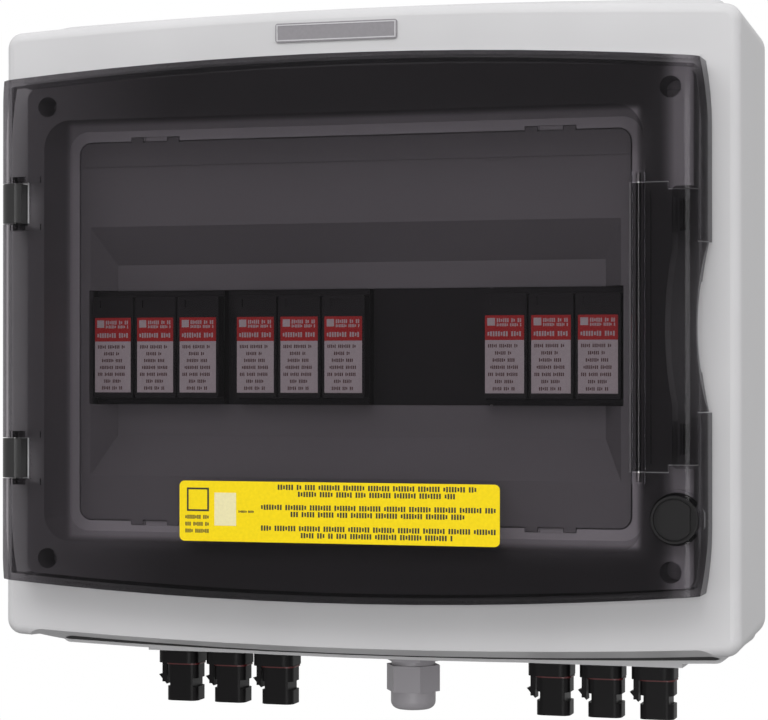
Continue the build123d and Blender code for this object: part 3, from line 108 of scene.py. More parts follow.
# rows on the pale field: number, drop of the first, bare strip left over, height and insets
PALE_ROWS = 7
PALE_START = 0.8 * MM
PALE_SPARE = 1.2 * MM
PALE_ROW_HEIGHT = 1.35 * MM
PALE_INSET = 1.2 * MM
PALE_INSET_STEP = 0.9 * MM

# notice on the door, as shares of its width and height: the middle of the paired rows, each pair's
# drop and the half widths of its two rows, and the drop from one row of a pair to the other
NOTICE_MIDDLE = 0.626
NOTICE_PAIRS = ((0.088, 0.311, 0.247), (0.420, 0.364, 0.270), (0.765, 0.364, 0.238))
NOTICE_PAIR_STEP = 0.112
# small rows under the square: number, drop of the first and step, then left, right and height
SMALL_ROWS = 3
SMALL_START = 0.60
SMALL_STEP = 0.115
SMALL_SPAN = (2.4 * MM, 12.2 * MM)
SMALL_HEIGHT = 1.5 * MM
# outlined square: inset from the left and the top, side and line
SQUARE_LEFT = 3.0 * MM
SQUARE_TOP = 2.6 * MM
SQUARE_SIDE = 9.0 * MM
SQUARE_LINE = 0.7 * MM
# pale field: left and right from the notice's left edge, insets from its bottom and its top
PAPER_SPAN = (14.2 * MM, 23.0 * MM)
PAPER_BOTTOM = 6.0 * MM
PAPER_TOP = 4.4 * MM
# fine row beside the pale field: left, right and height
FINE_SPAN = (24.0 * MM, 30.5 * MM)
FINE_HEIGHT = 0.9 * MM

# raised rim of the small plate: inset from the plate's edge, width and height
RIM_INSET = 0.5 * MM
RIM_LINE = 0.45 * MM
RIM_THICK = 0.12 * MM

# lamps aimed at the middle of the frame: strength setting, place and size in metres
LAMPS = (
    ("key", (-0.4, -2.3, 1.8), (2.4, 1.2)),
    ("side", (1.7, -0.9, 0.4), (0.7, 1.6)),
    ("fill", (0.55, -2.3, -0.05), (0.9, 0.8)),
)
SENSOR_WIDTH = 36.0
CLIP_RANGE = (0.01, 50.0)
FLOOR_RADIUS = 1.5
FLOOR_SEGMENTS = 96


# ------------------------------------------------------------------ settings
def colour_setting(name, description, default):
    return bpy.props.FloatVectorProperty(
        name=name, description=description, default=default, subtype="COLOR", size=3, min=0, max=1
    )


def length_setting(name, description, default):
    return bpy.props.FloatProperty(
        name=name, description=description, default=default, unit="LENGTH", min=0
    )


def share_setting(name, description, default):
    return bpy.props.FloatProperty(
        name=name, description=description, default=default, subtype="FACTOR", min=0, max=1
    )


class HousingSettings(bpy.types.PropertyGroup):
    colour: colour_setting("Housing", "Light grey of the base and the cover", (0.55, 0.545, 0.555))
    mask_colour: colour_setting("Mask", "Grey of the device mask in the well", (0.215, 0.211, 0.217))
    roughness: share_setting("Roughness", "Roughness of the moulded housing", 0.46)
    grain: length_setting("Grain", "Width of one bump of the eroded mould texture", 0.45 * MM)
    grain_depth: length_setting("Grain depth", "Height of the eroded mould texture", 0.012 * MM)


class DoorSettings(bpy.types.PropertyGroup):
    clearness: share_setting("Clearness", "Light passed by one face of the smoked door over the well", 0.70)
    # painted shade: the door round the well passes less light, standing in for the shade there
    painted_shade_border: share_setting("Border", "Light passed by one face of the door round the well", 0.37)
    # painted reflection: the rim passes more light, standing in for reflections near the door's left and
    # right edges
    rim: share_setting("Rim", "Light passed by one face of the door beside the raised field", 0.64)
    mirror: share_setting("Mirror", "Share of the full mirror strength", 0.6)
    handle: share_setting("Handle", "Light passed by one face of the latch handle", 0.36)
    # the field outside which the door carries painted shade
    window: bpy.props.FloatVectorProperty(
        name="Window",
        description="Left, right, bottom and top of the clearer field of the door",
        default=(-0.1130, 0.1145, -0.0813, 0.0824),
        size=4,
        subtype="NONE",
    )
    # width over which the painted shade fades in at the field's edge
    painted_shade_edge: length_setting("Window edge", "Width over which the door darkens", 3.0 * MM)
    ior: bpy.props.FloatProperty(
        name="Sheen index", description="Index that sets how strongly the door mirrors", default=1.25, min=1
    )
    roughness: share_setting("Roughness", "Roughness of the polished door", 0.07)
    hinge: colour_setting("Hinges", "Smoky grey of the hinge blocks", (0.024, 0.0235, 0.024))
    plug: colour_setting("Plug", "Black of the lock plug", (0.006, 0.0055, 0.006))


class DeviceSettings(bpy.types.PropertyGroup):
    socket: colour_setting("Socket", "Black of the arrester sockets", (0.018, 0.017, 0.018))
    cartridge: colour_setting("Cartridge", "Black of the plug-in cartridges", (0.022, 0.021, 0.022))
    red: colour_setting("Red field", "Red upper part of a cartridge label", (0.62, 0.03, 0.03))
    pale: colour_setting("Pale field", "Pale lower part of a cartridge label", (0.70, 0.64, 0.64))
    ink: colour_setting("Ink", "Ink of the small rows on the labels", (0.16, 0.08, 0.08))
    label_width: length_setting("Label width", "Width of a cartridge label", 15.2 * MM)
    label_height: length_setting("Label height", "Height of a cartridge label", 29.6 * MM)
    red_height: length_setting("Red height", "Height of the red upper part", 9.4 * MM)


class PlateSettings(bpy.types.PropertyGroup):
    yellow: colour_setting("Yellow", "Yellow of the film label on the door", (0.80, 0.60, 0.006))
    ink: colour_setting("Ink", "Black of the printed rows", (0.03, 0.028, 0.02))
    paper: colour_setting("Paper", "Pale field beside the rows", (0.72, 0.66, 0.38))
    silver: colour_setting("Silver", "Face of the small plate on the cover", (0.25, 0.24, 0.255))
    silver_rim: colour_setting("Silver rim", "Raised rim of the small plate", (0.52, 0.51, 0.53))
    row_height: length_setting("Row height", "Height of one printed row", 2.0 * MM)


class EntrySettings(bpy.types.PropertyGroup):
    inlet: colour_setting("Inlet", "Black of the string inlets", (0.006, 0.0055, 0.006))
    ring: colour_setting("Ring", "Red of the polarity rings", (0.085, 0.005, 0.006))
    gland: colour_setting("Gland", "Grey of the cable gland", (0.31, 0.295, 0.315))
    rubber: colour_setting("Rubber", "Black of the seals", (0.02, 0.02, 0.02))


class MetalSettings(bpy.types.PropertyGroup):
    zinc: colour_setting("Zinc", "Zinc plating of the rail, pins and screws", (0.62, 0.62, 0.60))
    brass: colour_setting("Brass", "Brass of the earth bar", (0.70, 0.52, 0.22))
    tin: colour_setting("Tin", "Tin plating of the contacts", (0.74, 0.72, 0.68))


class StageSettings(bpy.types.PropertyGroup):
    azimuth: bpy.props.FloatProperty(
        name="Azimuth", description="How far the camera stands to the right", default=16.5
    )
    pitch: bpy.props.FloatProperty(name="Pitch", description="How far the camera looks up", default=0.28)
    eye: bpy.props.FloatVectorProperty(
        name="Eye", description="Place of the camera", default=(0.2768, -1.0183, -0.0155), subtype="XYZ"
    )
    lens: bpy.props.FloatProperty(name="Lens", description="Focal length on a 36 mm sensor", default=114.8)
    floor: colour_setting("Floor", "Grey that the floor gives back to the box", (0.25, 0.25, 0.25))
    floor_drop: length_setting("Floor drop", "Distance from the box down to the floor", 0.42)
    sky: bpy.props.FloatProperty(
        name="Sky", description="Strength of the soft light from straight above", default=1.18, min=0
    )
    ground: bpy.props.FloatProperty(
        name="Ground", description="Strength of the soft light from straight below", default=0.07, min=0
    )
    key: bpy.props.FloatProperty(
        name="Key", description="Strength of the soft lamp over the front", default=27.0, min=0
    )
    side: bpy.props.FloatProperty(
        name="Side", description="Strength of the tall soft lamp on the right", default=2.4, min=0
    )
    fill: bpy.props.FloatProperty(
        name="Fill", description="Strength of the soft lamp in front on the right", default=13.0, min=0
    )


SETTINGS = {
    "jb_housing": HousingSettings,
    "jb_door": DoorSettings,
    "jb_devices": DeviceSettings,
    "jb_plates": PlateSettings,
    "jb_entries": EntrySettings,
    "jb_metal": MetalSettings,
    "jb_stage": StageSettings,
}


# ------------------------------------------------------------------ materials
def new_material(name):
    material = bpy.data.materials.new(name)
    material.use_nodes = True
    shader = material.node_tree.nodes["Principled BSDF"]
    return material, material.node_tree, shader


def object_noise(tree, size, detail=3.0, roughness=0.55):
    """Noise whose largest features are about size metres wide, fixed to the piece."""
    place = tree.nodes.new("ShaderNodeTexCoord")
    noise = tree.nodes.new("ShaderNodeTexNoise")
    noise.inputs["Scale"].default_value = 1.0 / size
    noise.inputs["Detail"].default_value = detail
    noise.inputs["Roughness"].default_value = roughness
    tree.links.new(place.outputs["Object"], noise.inputs["Vector"])
    return noise.outputs["Fac"]


def object_axes(tree):
    """X, Y and Z of a place on the piece."""
    place = tree.nodes.new("ShaderNodeTexCoord")
    axes = tree.nodes.new("ShaderNodeSeparateXYZ")
    tree.links.new(place.outputs["Object"], axes.inputs["Vector"])
    return axes.outputs


def white_to_camera(tree, lit, white, output):
    """Show white to the camera's own rays and the lit shader to all others."""
    rays = tree.nodes.new("ShaderNodeLightPath")
    mix = tree.nodes.new("ShaderNodeMixShader")
    tree.links.new(rays.outputs["Is Camera Ray"], mix.inputs["Fac"])
    tree.links.new(lit, mix.inputs[1])
    tree.links.new(white, mix.inputs[2])
    tree.links.new(mix.outputs["Shader"], output.inputs["Surface"])


def spread(tree, source, low, high):
    """Noise stretched to a range about its middle."""
    span = tree.nodes.new("ShaderNodeMapRange")
    span.inputs["From Min"].default_value = 0.3
    span.inputs["From Max"].default_value = 0.7
    span.inputs["To Min"].default_value = low
    span.inputs["To Max"].default_value = high
    tree.links.new(source, span.inputs["Value"])
    return span.outputs["Result"]


def tinted(tree, source, colour, depth):
    """The colour, a little darker and lighter from place to place."""
    mix = tree.nodes.new("ShaderNodeMix")
    mix.data_type = "RGBA"
    mix.inputs["A"].default_value = (*[c * (1 - depth) for c in colour], 1)
    mix.inputs["B"].default_value = (*[min(1.0, c * (1 + depth)) for c in colour], 1)
    tree.links.new(source, mix.inputs["Factor"])
    return mix.outputs["Result"]


def relief(tree, height, depth, shader):
    """Bumps of a depth in metres on a shader; gives back their normal."""
    bump = tree.nodes.new("ShaderNodeBump")
    bump.inputs["Distance"].default_value = depth
    tree.links.new(height, bump.inputs["Height"])
    tree.links.new(bump.outputs["Normal"], shader.inputs["Normal"])
    return bump.outputs["Normal"]


def moulded_plastic(name, colour, roughness, grain, depth, mottle=0.03, sheen=0.5):
    """Injection-moulded plastic: eroded mould texture, faint flow marks in colour and sheen."""
    material, tree, shader = new_material(name)
    shader.inputs["Specular IOR Level"].default_value = sheen
    flow = object_noise(tree, FLOW_MARKS, 2.0)
    fine = object_noise(tree, grain, 2.0)
    tree.links.new(tinted(tree, spread(tree, flow, 0, 1), colour, mottle), shader.inputs["Base Color"])
    tree.links.new(spread(tree, flow, roughness - 0.04, roughness + 0.05), shader.inputs["Roughness"])
    relief(tree, fine, depth, shader)
    return material


def plated_metal(name, colour, roughness):
    """Bright plating with cloudy patches and drawing marks."""
    material, tree, shader = new_material(name)
    cloud = object_noise(tree, PLATING_CLOUDS, 4.0)
    marks = object_noise(tree, DRAWING_MARKS, 2.0)
    shader.inputs["Metallic"].default_value = 1.0
    tree.links.new(tinted(tree, spread(tree, cloud, 0, 1), colour, 0.10), shader.inputs["Base Color"])
    tree.links.new(spread(tree, cloud, roughness - 0.08, roughness + 0.10), shader.inputs["Roughness"])
    relief(tree, marks, 0.006 * MM, shader)
    return material


def soft_rubber(name, colour):
    """Matt rubber with a cloudy bloom and a fine tooth."""
    material, tree, shader = new_material(name)
    bloom = object_noise(tree, RUBBER_BLOOM, 4.0)
    tree.links.new(tinted(tree, spread(tree, bloom, 0, 1), colour, 0.25), shader.inputs["Base Color"])
    tree.links.new(spread(tree, bloom, 0.62, 0.82), shader.inputs["Roughness"])
    relief(tree, object_noise(tree, RUBBER_TOOTH, 2.0), 0.02 * MM, shader)
    return material


def field_share(tree, limits, edge):
    """One inside a rectangle of the front elevation and nought outside, with soft edges."""
    axes = object_axes(tree)
    left, right, bottom, top = limits
    share = None
    for axis, outer, inner in (
        ("X", left, left + edge),
        ("X", right, right - edge),
        ("Z", bottom, bottom + edge),
        ("Z", top, top - edge),
    ):
        ramp = tree.nodes.new("ShaderNodeMapRange")
        ramp.interpolation_type = "SMOOTHSTEP"
        ramp.inputs["From Min"].default_value = outer
        ramp.inputs["From Max"].default_value = inner
        tree.links.new(axes[axis], ramp.inputs["Value"])
        if share is None:
            share = ramp.outputs["Result"]
            continue
        product = tree.nodes.new("ShaderNodeMath")
        product.operation = "MULTIPLY"
        tree.links.new(share, product.inputs[0])
        tree.links.new(ramp.outputs["Result"], product.inputs[1])
        share = product.outputs["Value"]
    return share


def smoke_tint(clearness):
    """Colour of a pane that passes a share of the light."""
    return (clearness, clearness * SMOKE_GREEN, clearness, 1)


def smoked_plastic(name, clearness, index, roughness, strength):
    """Smoked see-through moulding: a tinted pane under a polished, faintly rippled face."""
    material, tree, shader = new_material(name)
    output = tree.nodes["Material Output"]
    shader.inputs["Base Color"].default_value = (0.9, 0.9, 0.92, 1)
    shader.inputs["Metallic"].default_value = 1.0
    ripple = object_noise(tree, PANE_RIPPLE, 1.0)
    tree.links.new(spread(tree, ripple, roughness * 0.7, roughness * 1.4), shader.inputs["Roughness"])
    normal = relief(tree, ripple, 0.02 * MM, shader)
    pane = tree.nodes.new("ShaderNodeBsdfTransparent")
    pane.inputs["Color"].default_value = smoke_tint(clearness)
    mirror = tree.nodes.new("ShaderNodeFresnel")
    mirror.inputs["IOR"].default_value = index
    tree.links.new(normal, mirror.inputs["Normal"])
    weaker = tree.nodes.new("ShaderNodeMath")
    weaker.operation = "MULTIPLY"
    weaker.inputs[1].default_value = strength
    tree.links.new(mirror.outputs["Fac"], weaker.inputs[0])
    mix = tree.nodes.new("ShaderNodeMixShader")
    tree.links.new(weaker.outputs["Value"], mix.inputs["Fac"])
    tree.links.new(pane.outputs["BSDF"], mix.inputs[1])
    tree.links.new(shader.outputs["BSDF"], mix.inputs[2])
    tree.links.new(mix.outputs["Shader"], output.inputs["Surface"])
    return material


def paint_shade_and_reflection_on_pane(material, door):
    """Paint shade and reflection on the smoked door by place: it passes most light over the well and least
    round it (painted shade), and more in bands near its left and right edges (painted reflection).
    """
    tree = material.node_tree
    pane = next(node for node in tree.nodes if node.bl_idname == "ShaderNodeBsdfTransparent")
    across = tree.nodes.new("ShaderNodeMapRange")
    left, right = PAINTED_SHADE_SPAN
    across.inputs["From Min"].default_value = left
    across.inputs["From Max"].default_value = right
    tree.links.new(object_axes(tree)["X"], across.inputs["Value"])
    # painted shade and painted reflection in bands across the door
    painted_light_bands = tree.nodes.new("ShaderNodeValToRGB")
    stops = painted_light_bands.color_ramp.elements
    while len(stops) < len(PAINTED_SHADE_AND_REFLECTION_BANDS):
        stops.new(1.0)
    for stop, (x, share) in zip(stops, PAINTED_SHADE_AND_REFLECTION_BANDS):
        stop.position = (x - left) / (right - left)
        stop.color = smoke_tint(door.painted_shade_border + share * (door.rim - door.painted_shade_border))
    tree.links.new(across.outputs["Result"], painted_light_bands.inputs["Fac"])
    mix = tree.nodes.new("ShaderNodeMix")
    mix.data_type = "RGBA"
    mix.inputs["B"].default_value = smoke_tint(door.clearness)
    tree.links.new(painted_light_bands.outputs["Color"], mix.inputs["A"])
    tree.links.new(field_share(tree, door.window, door.painted_shade_edge), mix.inputs["Factor"])
    tree.links.new(mix.outputs["Result"], pane.inputs["Color"])


def printed(name, colour, roughness=0.45, sheen=0.3):
    """Ink or film with a fine tooth."""
    material, tree, shader = new_material(name)
    shader.inputs["Specular IOR Level"].default_value = sheen
    tooth = object_noise(tree, FILM_TOOTH, 2.0)
    tree.links.new(tinted(tree, spread(tree, tooth, 0, 1), colour, 0.04), shader.inputs["Base Color"])
    tree.links.new(spread(tree, tooth, roughness - 0.05, roughness + 0.05), shader.inputs["Roughness"])
    return material


def finish_nodes(material, *names):
    """Give CAD nodes a material."""
    for name in names:
        node = bpy.data.objects[name]
        if not node.data.materials:
            node.data.materials.append(material)
        for index in range(len(node.material_slots)):
            node.material_slots[index].link = "DATA"
            node.material_slots[index].material = material


def nodes_named(start):
    return sorted(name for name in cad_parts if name.startswith(start))


# ------------------------------------------------------------------ print helpers
def add_field(mesh, left, right, bottom, top, front, thick, material_index):
    """Thin printed field standing on a front face; front is the distance from the wall."""
    centre = Vector(((left + right) / 2, -(front + thick / 2), (bottom + top) / 2))
    size = Vector((right - left, thick, top - bottom))
    made = bmesh.ops.create_cube(mesh, size=1.0, matrix=Matrix.LocRotScale(centre, None, size))
    for face in {face for vert in made["verts"] for face in vert.link_faces}:
        face.material_index = material_index


def add_outline(mesh, left, right, bottom, top, line, front, thick):
    """Rectangular outline drawn with four bars."""
    add_field(mesh, left, right, top - line, top, front, thick, 0)
    add_field(mesh, left, right, bottom, bottom + line, front, thick, 0)
    add_field(mesh, left, left + line, bottom + line, top - line, front, thick, 0)
    add_field(mesh, right - line, right, bottom + line, top - line, front, thick, 0)


def row_of_marks(mesh, left, right, middle, height, front, thick, material_index, seed):
    """A printed row: upright marks gathered into words of uneven length."""
    stroke = height * 0.34
    gap = height * 0.20
    x = left
    count = seed
    letters = 3 + seed % 6
    while x + stroke <= right:
        tall = height * (1.0 if (count * 7) % 5 else 0.72)
        add_field(
            mesh, x, x + stroke, middle - tall / 2, middle + tall / 2, front, thick, material_index
        )
        x += stroke + gap
        count += 1
        letters -= 1
        if letters == 0:
            x += height * 0.55
            letters = 2 + (count * 5 + seed) % 8


def finish_print(name, mesh, materials, body):
    """Turn a bmesh into a named piece that rides on a body."""
    data = bpy.data.meshes.new(name)
    mesh.to_mesh(data)
    mesh.free()
    piece = bpy.data.objects.new(name, data)
    bpy.context.scene.collection.objects.link(piece)
    for material in materials:
        data.materials.append(material)
    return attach(piece, body)


# ------------------------------------------------------------------ operators
class JB_OT_stage(bpy.types.Operator):
    """Add the camera, the lamps, the even light and the floor"""

    bl_idname = "jb.stage"
    bl_label = "Stage"

    def execute(self, context):
        stage = context.scene.jb_stage
        context.scene.view_settings.view_transform = "Standard"
        self.add_camera(context, stage)
        self.add_floor(context, stage)
        self.add_sky(context, stage)
        for setting, place, size in LAMPS:
            self.add_lamp(context, setting + "_lamp", place, size, getattr(stage, setting))
        return {"FINISHED"}

    def add_camera(self, context, stage):
        camera = bpy.data.objects.new("camera", bpy.data.cameras.new("camera"))
        camera.data.lens = stage.lens
        camera.data.sensor_width = SENSOR_WIDTH
        camera.data.clip_start, camera.data.clip_end = CLIP_RANGE
        camera.location = stage.eye
        camera.rotation_euler = (math.radians(90 + stage.pitch), 0, math.radians(stage.azimuth))
        context.scene.collection.objects.link(camera)
        context.scene.camera = camera

    def add_floor(self, context, stage):
        mesh = bmesh.new()
        bmesh.ops.create_circle(mesh, cap_ends=True, segments=FLOOR_SEGMENTS, radius=FLOOR_RADIUS)
        bmesh.ops.translate(mesh, verts=mesh.verts, vec=(0, 0, CAD_BOX[0].z - stage.floor_drop))
        data = bpy.data.meshes.new("floor")
        mesh.to_mesh(data)
        mesh.free()
        floor = bpy.data.objects.new("floor", data)
        context.scene.collection.objects.link(floor)
        data.materials.append(self.floor_paint(stage))

    def floor_paint(self, stage):
        """Pale paint that looks white to the camera and gives back little light."""
        material, tree, shader = new_material("floor_paint")
        shader.inputs["Base Color"].default_value = (*stage.floor, 1)
        shader.inputs["Roughness"].default_value = 0.7
        white = tree.nodes.new("ShaderNodeEmission")
        output = tree.nodes["Material Output"]
        white_to_camera(tree, shader.outputs["BSDF"], white.outputs["Emission"], output)
        return material

    def add_sky(self, context, stage):
        world = bpy.data.worlds.new("studio")
        world.use_nodes = True
        tree = world.node_tree
        light = tree.nodes["Background"]
        light.inputs["Color"].default_value = (1, 1, 1, 1)
        place = tree.nodes.new("ShaderNodeTexCoord")
        axes = tree.nodes.new("ShaderNodeSeparateXYZ")
        tree.links.new(place.outputs["Generated"], axes.inputs["Vector"])
        rise = tree.nodes.new("ShaderNodeMapRange")
        rise.inputs["From Min"].default_value = -1.0
        rise.inputs["To Min"].default_value = stage.ground
        rise.inputs["To Max"].default_value = stage.sky
        tree.links.new(axes.outputs["Z"], rise.inputs["Value"])
        tree.links.new(rise.outputs["Result"], light.inputs["Strength"])
        white = tree.nodes.new("ShaderNodeBackground")
        white.inputs["Color"].default_value = (1, 1, 1, 1)
        output = tree.nodes["World Output"]
        white_to_camera(tree, light.outputs["Background"], white.outputs["Background"], output)
        context.scene.world = world

    def add_lamp(self, context, name, place, size, strength):
        lamp = bpy.data.lights.new(name, "AREA")
        lamp.shape = "RECTANGLE"
        lamp.size = size[0]
        lamp.size_y = size[1]
        lamp.energy = strength
        holder = bpy.data.objects.new(name, lamp)
        holder.location = place
        holder.rotation_euler = (-Vector(place)).to_track_quat("-Z", "Y").to_euler()
        context.scene.collection.objects.link(holder)


class JB_OT_housing(bpy.types.Operator):
    """Finish the base, the cover, the device mask and the cover screws"""

    bl_idname = "jb.housing"
    bl_label = "Housing"

    def execute(self, context):
        housing = context.scene.jb_housing
        grey = moulded_plastic(
            "housing_grey", housing.colour, housing.roughness, housing.grain, housing.grain_depth
        )
        finish_nodes(grey, "base_box", "front_cover")
        mask = moulded_plastic(
            "mask_grey", housing.mask_colour, housing.roughness + 0.06, housing.grain, housing.grain_depth
        )
        finish_nodes(mask, "device_mask")
        screw = moulded_plastic(
            "screw_grey", housing.colour, roughness=0.35, grain=1.0 * MM, depth=0.004 * MM
        )
        finish_nodes(screw, "cover_screws")
        return {"FINISHED"}


class JB_OT_door(bpy.types.Operator):
    """Finish the smoked door, its latch handle, hinges and lock plug"""

    bl_idname = "jb.door"
    bl_label = "Door"

    def execute(self, context):
        door = context.scene.jb_door
        smoked = smoked_plastic("smoked_door", door.clearness, door.ior, door.roughness, door.mirror)
        # painted shade round the well and painted reflection near the edges, set on the door's pane by
        # place
        paint_shade_and_reflection_on_pane(smoked, door)
        finish_nodes(smoked, "door")
        handle = smoked_plastic("smoked_handle", door.handle, door.ior, door.roughness, door.mirror)
        finish_nodes(handle, "latch_handle")
        hinge = moulded_plastic(
            "hinge_smoke",
            door.hinge,
            roughness=0.30,
            grain=0.5 * MM,
            depth=0.003 * MM,
            mottle=0.08,
            sheen=0.25,
        )
        finish_nodes(hinge, "hinge_block_upper", "hinge_block_lower")
        plug = moulded_plastic(
            "plug_black",
            door.plug,
            roughness=0.40,
            grain=0.5 * MM,
            depth=0.008 * MM,
            mottle=0.10,
            sheen=0.2,
        )
        finish_nodes(plug, "lock_plug")
        return {"FINISHED"}


class JB_OT_devices(bpy.types.Operator):
    """Finish the surge arresters and print the labels on their cartridges"""

    bl_idname = "jb.devices"
    bl_label = "Arresters"

    def execute(self, context):
        look = context.scene.jb_devices
        socket = moulded_plastic(
            "socket_grey",
            look.socket,
            roughness=0.5,
            grain=0.6 * MM,
            depth=0.01 * MM,
            mottle=0.08,
            sheen=0.2,
        )
        finish_nodes(socket, *nodes_named("arrester_base"), *nodes_named("blanking_strip"))
        black = moulded_plastic(
            "cartridge_black",
            look.cartridge,
            roughness=0.46,
            grain=0.5 * MM,
            depth=0.01 * MM,
            mottle=0.08,
            sheen=0.2,
        )
        finish_nodes(black, *nodes_named("arrester_cartridge"))
        inks = [
            printed("label_red", look.red),
            printed("label_pale", look.pale),
            printed("label_ink", look.ink),
        ]
        for node in nodes_named("arrester_cartridge"):
            self.add_label(node, look, inks)
        return {"FINISHED"}

    def add_label(self, node, look, inks):
        """Red field over a pale one, with rows of small marks on both."""
        low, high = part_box(node)
        middle = (low.x + high.x) / 2
        front = -low.y
        left = middle - look.label_width / 2
        right = middle + look.label_width / 2
        top = high.z - LABEL_DROP
        seam = top - look.red_height
        bottom = top - look.label_height
        face = front + FILM
        red, pale, dark = range(3)
        mesh = bmesh.new()
        add_field(mesh, left, right, seam, top, front, FILM, red)
        add_field(mesh, left, right, bottom, seam, front, FILM, pale)
        for start, end, drop, height, seed in RED_ROWS:
            row_of_marks(mesh, left + start, right - end, top - drop, height, face, INK, pale, seed)
        start, end, lower, upper = RED_SQUARE
        add_field(mesh, left + start, left + end, top + lower, top + upper, face, INK, pale)
        pitch = (seam - bottom - PALE_SPARE) / PALE_ROWS
        for row in range(PALE_ROWS):
            inset = PALE_INSET + PALE_INSET_STEP * ((row * 3) % 4)
            level = seam - PALE_START - pitch * (row + 0.5)
            row_of_marks(
                mesh,
                left + inset,
                right - inset,
                level,
                PALE_ROW_HEIGHT,
                face,
                INK,
                dark,
                row + 2,
            )
        finish_print(node.replace("cartridge", "label"), mesh, inks, "enclosure")


class JB_OT_plates(bpy.types.Operator):
    """Finish the yellow film label and the small silver plate"""

    bl_idname = "jb.plates"
    bl_label = "Plates"

    def execute(self, context):
        look = context.scene.jb_plates
        finish_nodes(printed("label_yellow", look.yellow, roughness=0.55, sheen=0.15), "door_label")
        finish_nodes(printed("plate_silver", look.silver, roughness=0.4), "name_plate")
        self.add_rows(look)
        self.add_rim(look)
        return {"FINISHED"}

    def add_rows(self, look):
        """Three pairs of rows, a framed square and a pale field, in the places of a usual notice."""
        low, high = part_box("door_label")
        width = high.x - low.x
        height = high.z - low.z
        front = -low.y
        dark, paper = range(2)
        mesh = bmesh.new()
        centre = low.x + width * NOTICE_MIDDLE
        for number, (drop, *halves) in enumerate(NOTICE_PAIRS):
            for line, half in enumerate(halves):
                row_of_marks(
                    mesh,
                    centre - half * width,
                    centre + half * width,
                    high.z - height * (drop + NOTICE_PAIR_STEP * line),
                    look.row_height,
                    front,
                    NOTICE_INK,
                    dark,
                    2 * number + line + 3,
                )
        start, end = SMALL_SPAN
        for row in range(SMALL_ROWS):
            level = high.z - height * (SMALL_START + SMALL_STEP * row)
            row_of_marks(
                mesh,
                low.x + start,
                low.x + end,
                level,
                SMALL_HEIGHT,
                front,
                NOTICE_INK,
                dark,
                row + 5,
            )
        left = low.x + SQUARE_LEFT
        top = high.z - SQUARE_TOP
        right, bottom = left + SQUARE_SIDE, top - SQUARE_SIDE
        add_outline(mesh, left, right, bottom, top, SQUARE_LINE, front, NOTICE_INK)
        start, end = PAPER_SPAN
        bottom, top = low.z + PAPER_BOTTOM, high.z - PAPER_TOP
        add_field(mesh, low.x + start, low.x + end, bottom, top, front, NOTICE_INK, paper)
        start, end = FINE_SPAN
        middle = high.z - height * 0.5
        row_of_marks(
            mesh, low.x + start, low.x + end, middle, FINE_HEIGHT, front, NOTICE_INK, dark, 4
        )
        inks = [printed("notice_ink", look.ink), printed("notice_paper", look.paper)]
        finish_print("door_label_rows", mesh, inks, "door")

    def add_rim(self, look):
        """Thin raised rim just inside the edge of the small plate."""
        low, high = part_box("name_plate")
        left, right = low.x + RIM_INSET, high.x - RIM_INSET
        bottom, top = low.z + RIM_INSET, high.z - RIM_INSET
        mesh = bmesh.new()
        add_outline(mesh, left, right, bottom, top, RIM_LINE, -low.y, RIM_THICK)
        silver = printed("plate_rim", look.silver_rim, roughness=0.35)
        finish_print("name_plate_rim", mesh, [silver], "enclosure")


class JB_OT_entries(bpy.types.Operator):
    """Finish the string inlets, their rings, the cable gland and the seals"""

    bl_idname = "jb.entries"
    bl_label = "Inlets and gland"

    def execute(self, context):
        look = context.scene.jb_entries
        black = moulded_plastic(
            "inlet_black",
            look.inlet,
            roughness=0.40,
            grain=0.5 * MM,
            depth=0.008 * MM,
            mottle=0.12,
            sheen=0.15,
        )
        finish_nodes(black, "string_nuts", *nodes_named("string_inlet"))
        ring = moulded_plastic("ring_red", look.ring, roughness=0.38, grain=0.6 * MM, depth=0.004 * MM)
        finish_nodes(ring, "string_rings")
        grey = moulded_plastic("gland_grey", look.gland, roughness=0.42, grain=0.7 * MM, depth=0.01 * MM)
        finish_nodes(grey, "gland_body", "gland_dome_nut", "gland_locknut")
        rubber = soft_rubber("seal_rubber", look.rubber)
        finish_nodes(rubber, "gland_seal", "cover_seal", "string_seals")
        return {"FINISHED"}


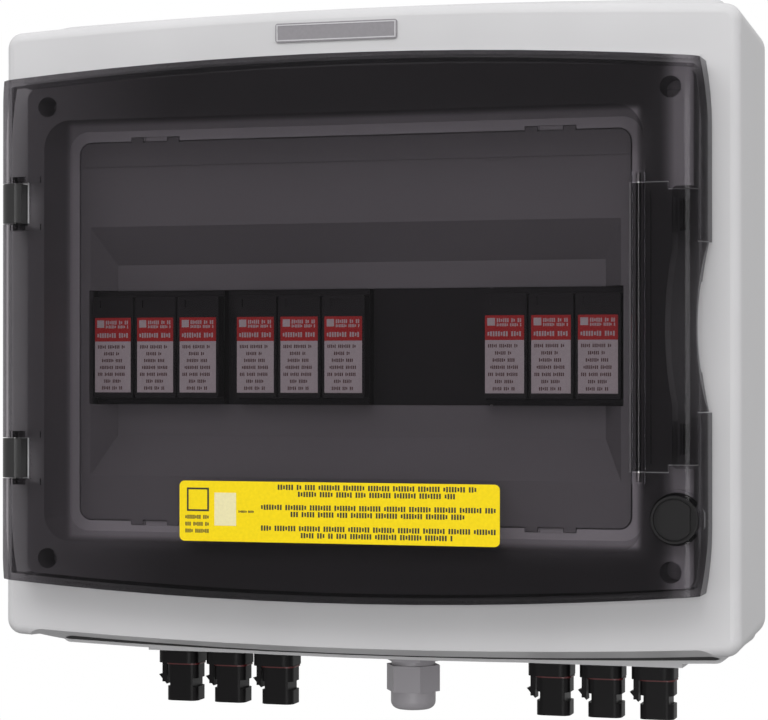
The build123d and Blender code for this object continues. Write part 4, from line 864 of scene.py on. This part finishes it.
class JB_OT_metalwork(bpy.types.Operator):
    """Finish the rail, the pins, the screws, the earth bar and the contacts"""

    bl_idname = "jb.metalwork"
    bl_label = "Metalwork"

    def execute(self, context):
        look = context.scene.jb_metal
        zinc = plated_metal("zinc_plating", look.zinc, roughness=0.34)
        finish_nodes(
            zinc,
            "din_rail",
            "rail_screws",
            "earth_bar_screws",
            "hinge_pin_upper",
            "hinge_pin_lower",
            "latch_handle_pin",
        )
        finish_nodes(plated_metal("bar_brass", look.brass, roughness=0.36), "earth_bar")
        finish_nodes(plated_metal("contact_tin", look.tin, roughness=0.30), "string_contacts")
        return {"FINISHED"}


class JB_PT_panel(bpy.types.Panel):
    """Shows the buttons that dress the junction box, and their settings"""

    bl_idname = "JB_PT_panel"
    bl_label = "Junction Box"
    bl_space_type = "VIEW_3D"
    bl_region_type = "UI"
    bl_category = "Junction Box"

    def draw(self, context):
        for operator in OPERATORS:
            self.layout.operator(operator.bl_idname)
        for setting, group in SETTINGS.items():
            holder = self.layout.box()
            holder.label(text=group.__name__.replace("Settings", ""))
            for name in group.__annotations__:
                holder.prop(getattr(context.scene, setting), name)


OPERATORS = (
    JB_OT_stage,
    JB_OT_housing,
    JB_OT_door,
    JB_OT_devices,
    JB_OT_plates,
    JB_OT_entries,
    JB_OT_metalwork,
)


def register():
    for group in SETTINGS.values():
        bpy.utils.register_class(group)
    for setting, group in SETTINGS.items():
        setattr(bpy.types.Scene, setting, bpy.props.PointerProperty(type=group))
    for operator in OPERATORS:
        bpy.utils.register_class(operator)
    bpy.utils.register_class(JB_PT_panel)


def unregister():
    bpy.utils.unregister_class(JB_PT_panel)
    for operator in reversed(OPERATORS):
        bpy.utils.unregister_class(operator)
    for setting in SETTINGS:
        delattr(bpy.types.Scene, setting)
    for group in reversed(list(SETTINGS.values())):
        bpy.utils.unregister_class(group)


def main():
    register()
    bpy.ops.jb.stage()
    bpy.ops.jb.housing()
    bpy.ops.jb.door()
    bpy.ops.jb.devices()
    bpy.ops.jb.plates()
    bpy.ops.jb.entries()
    bpy.ops.jb.metalwork()


if __name__ == "__main__":
    main()
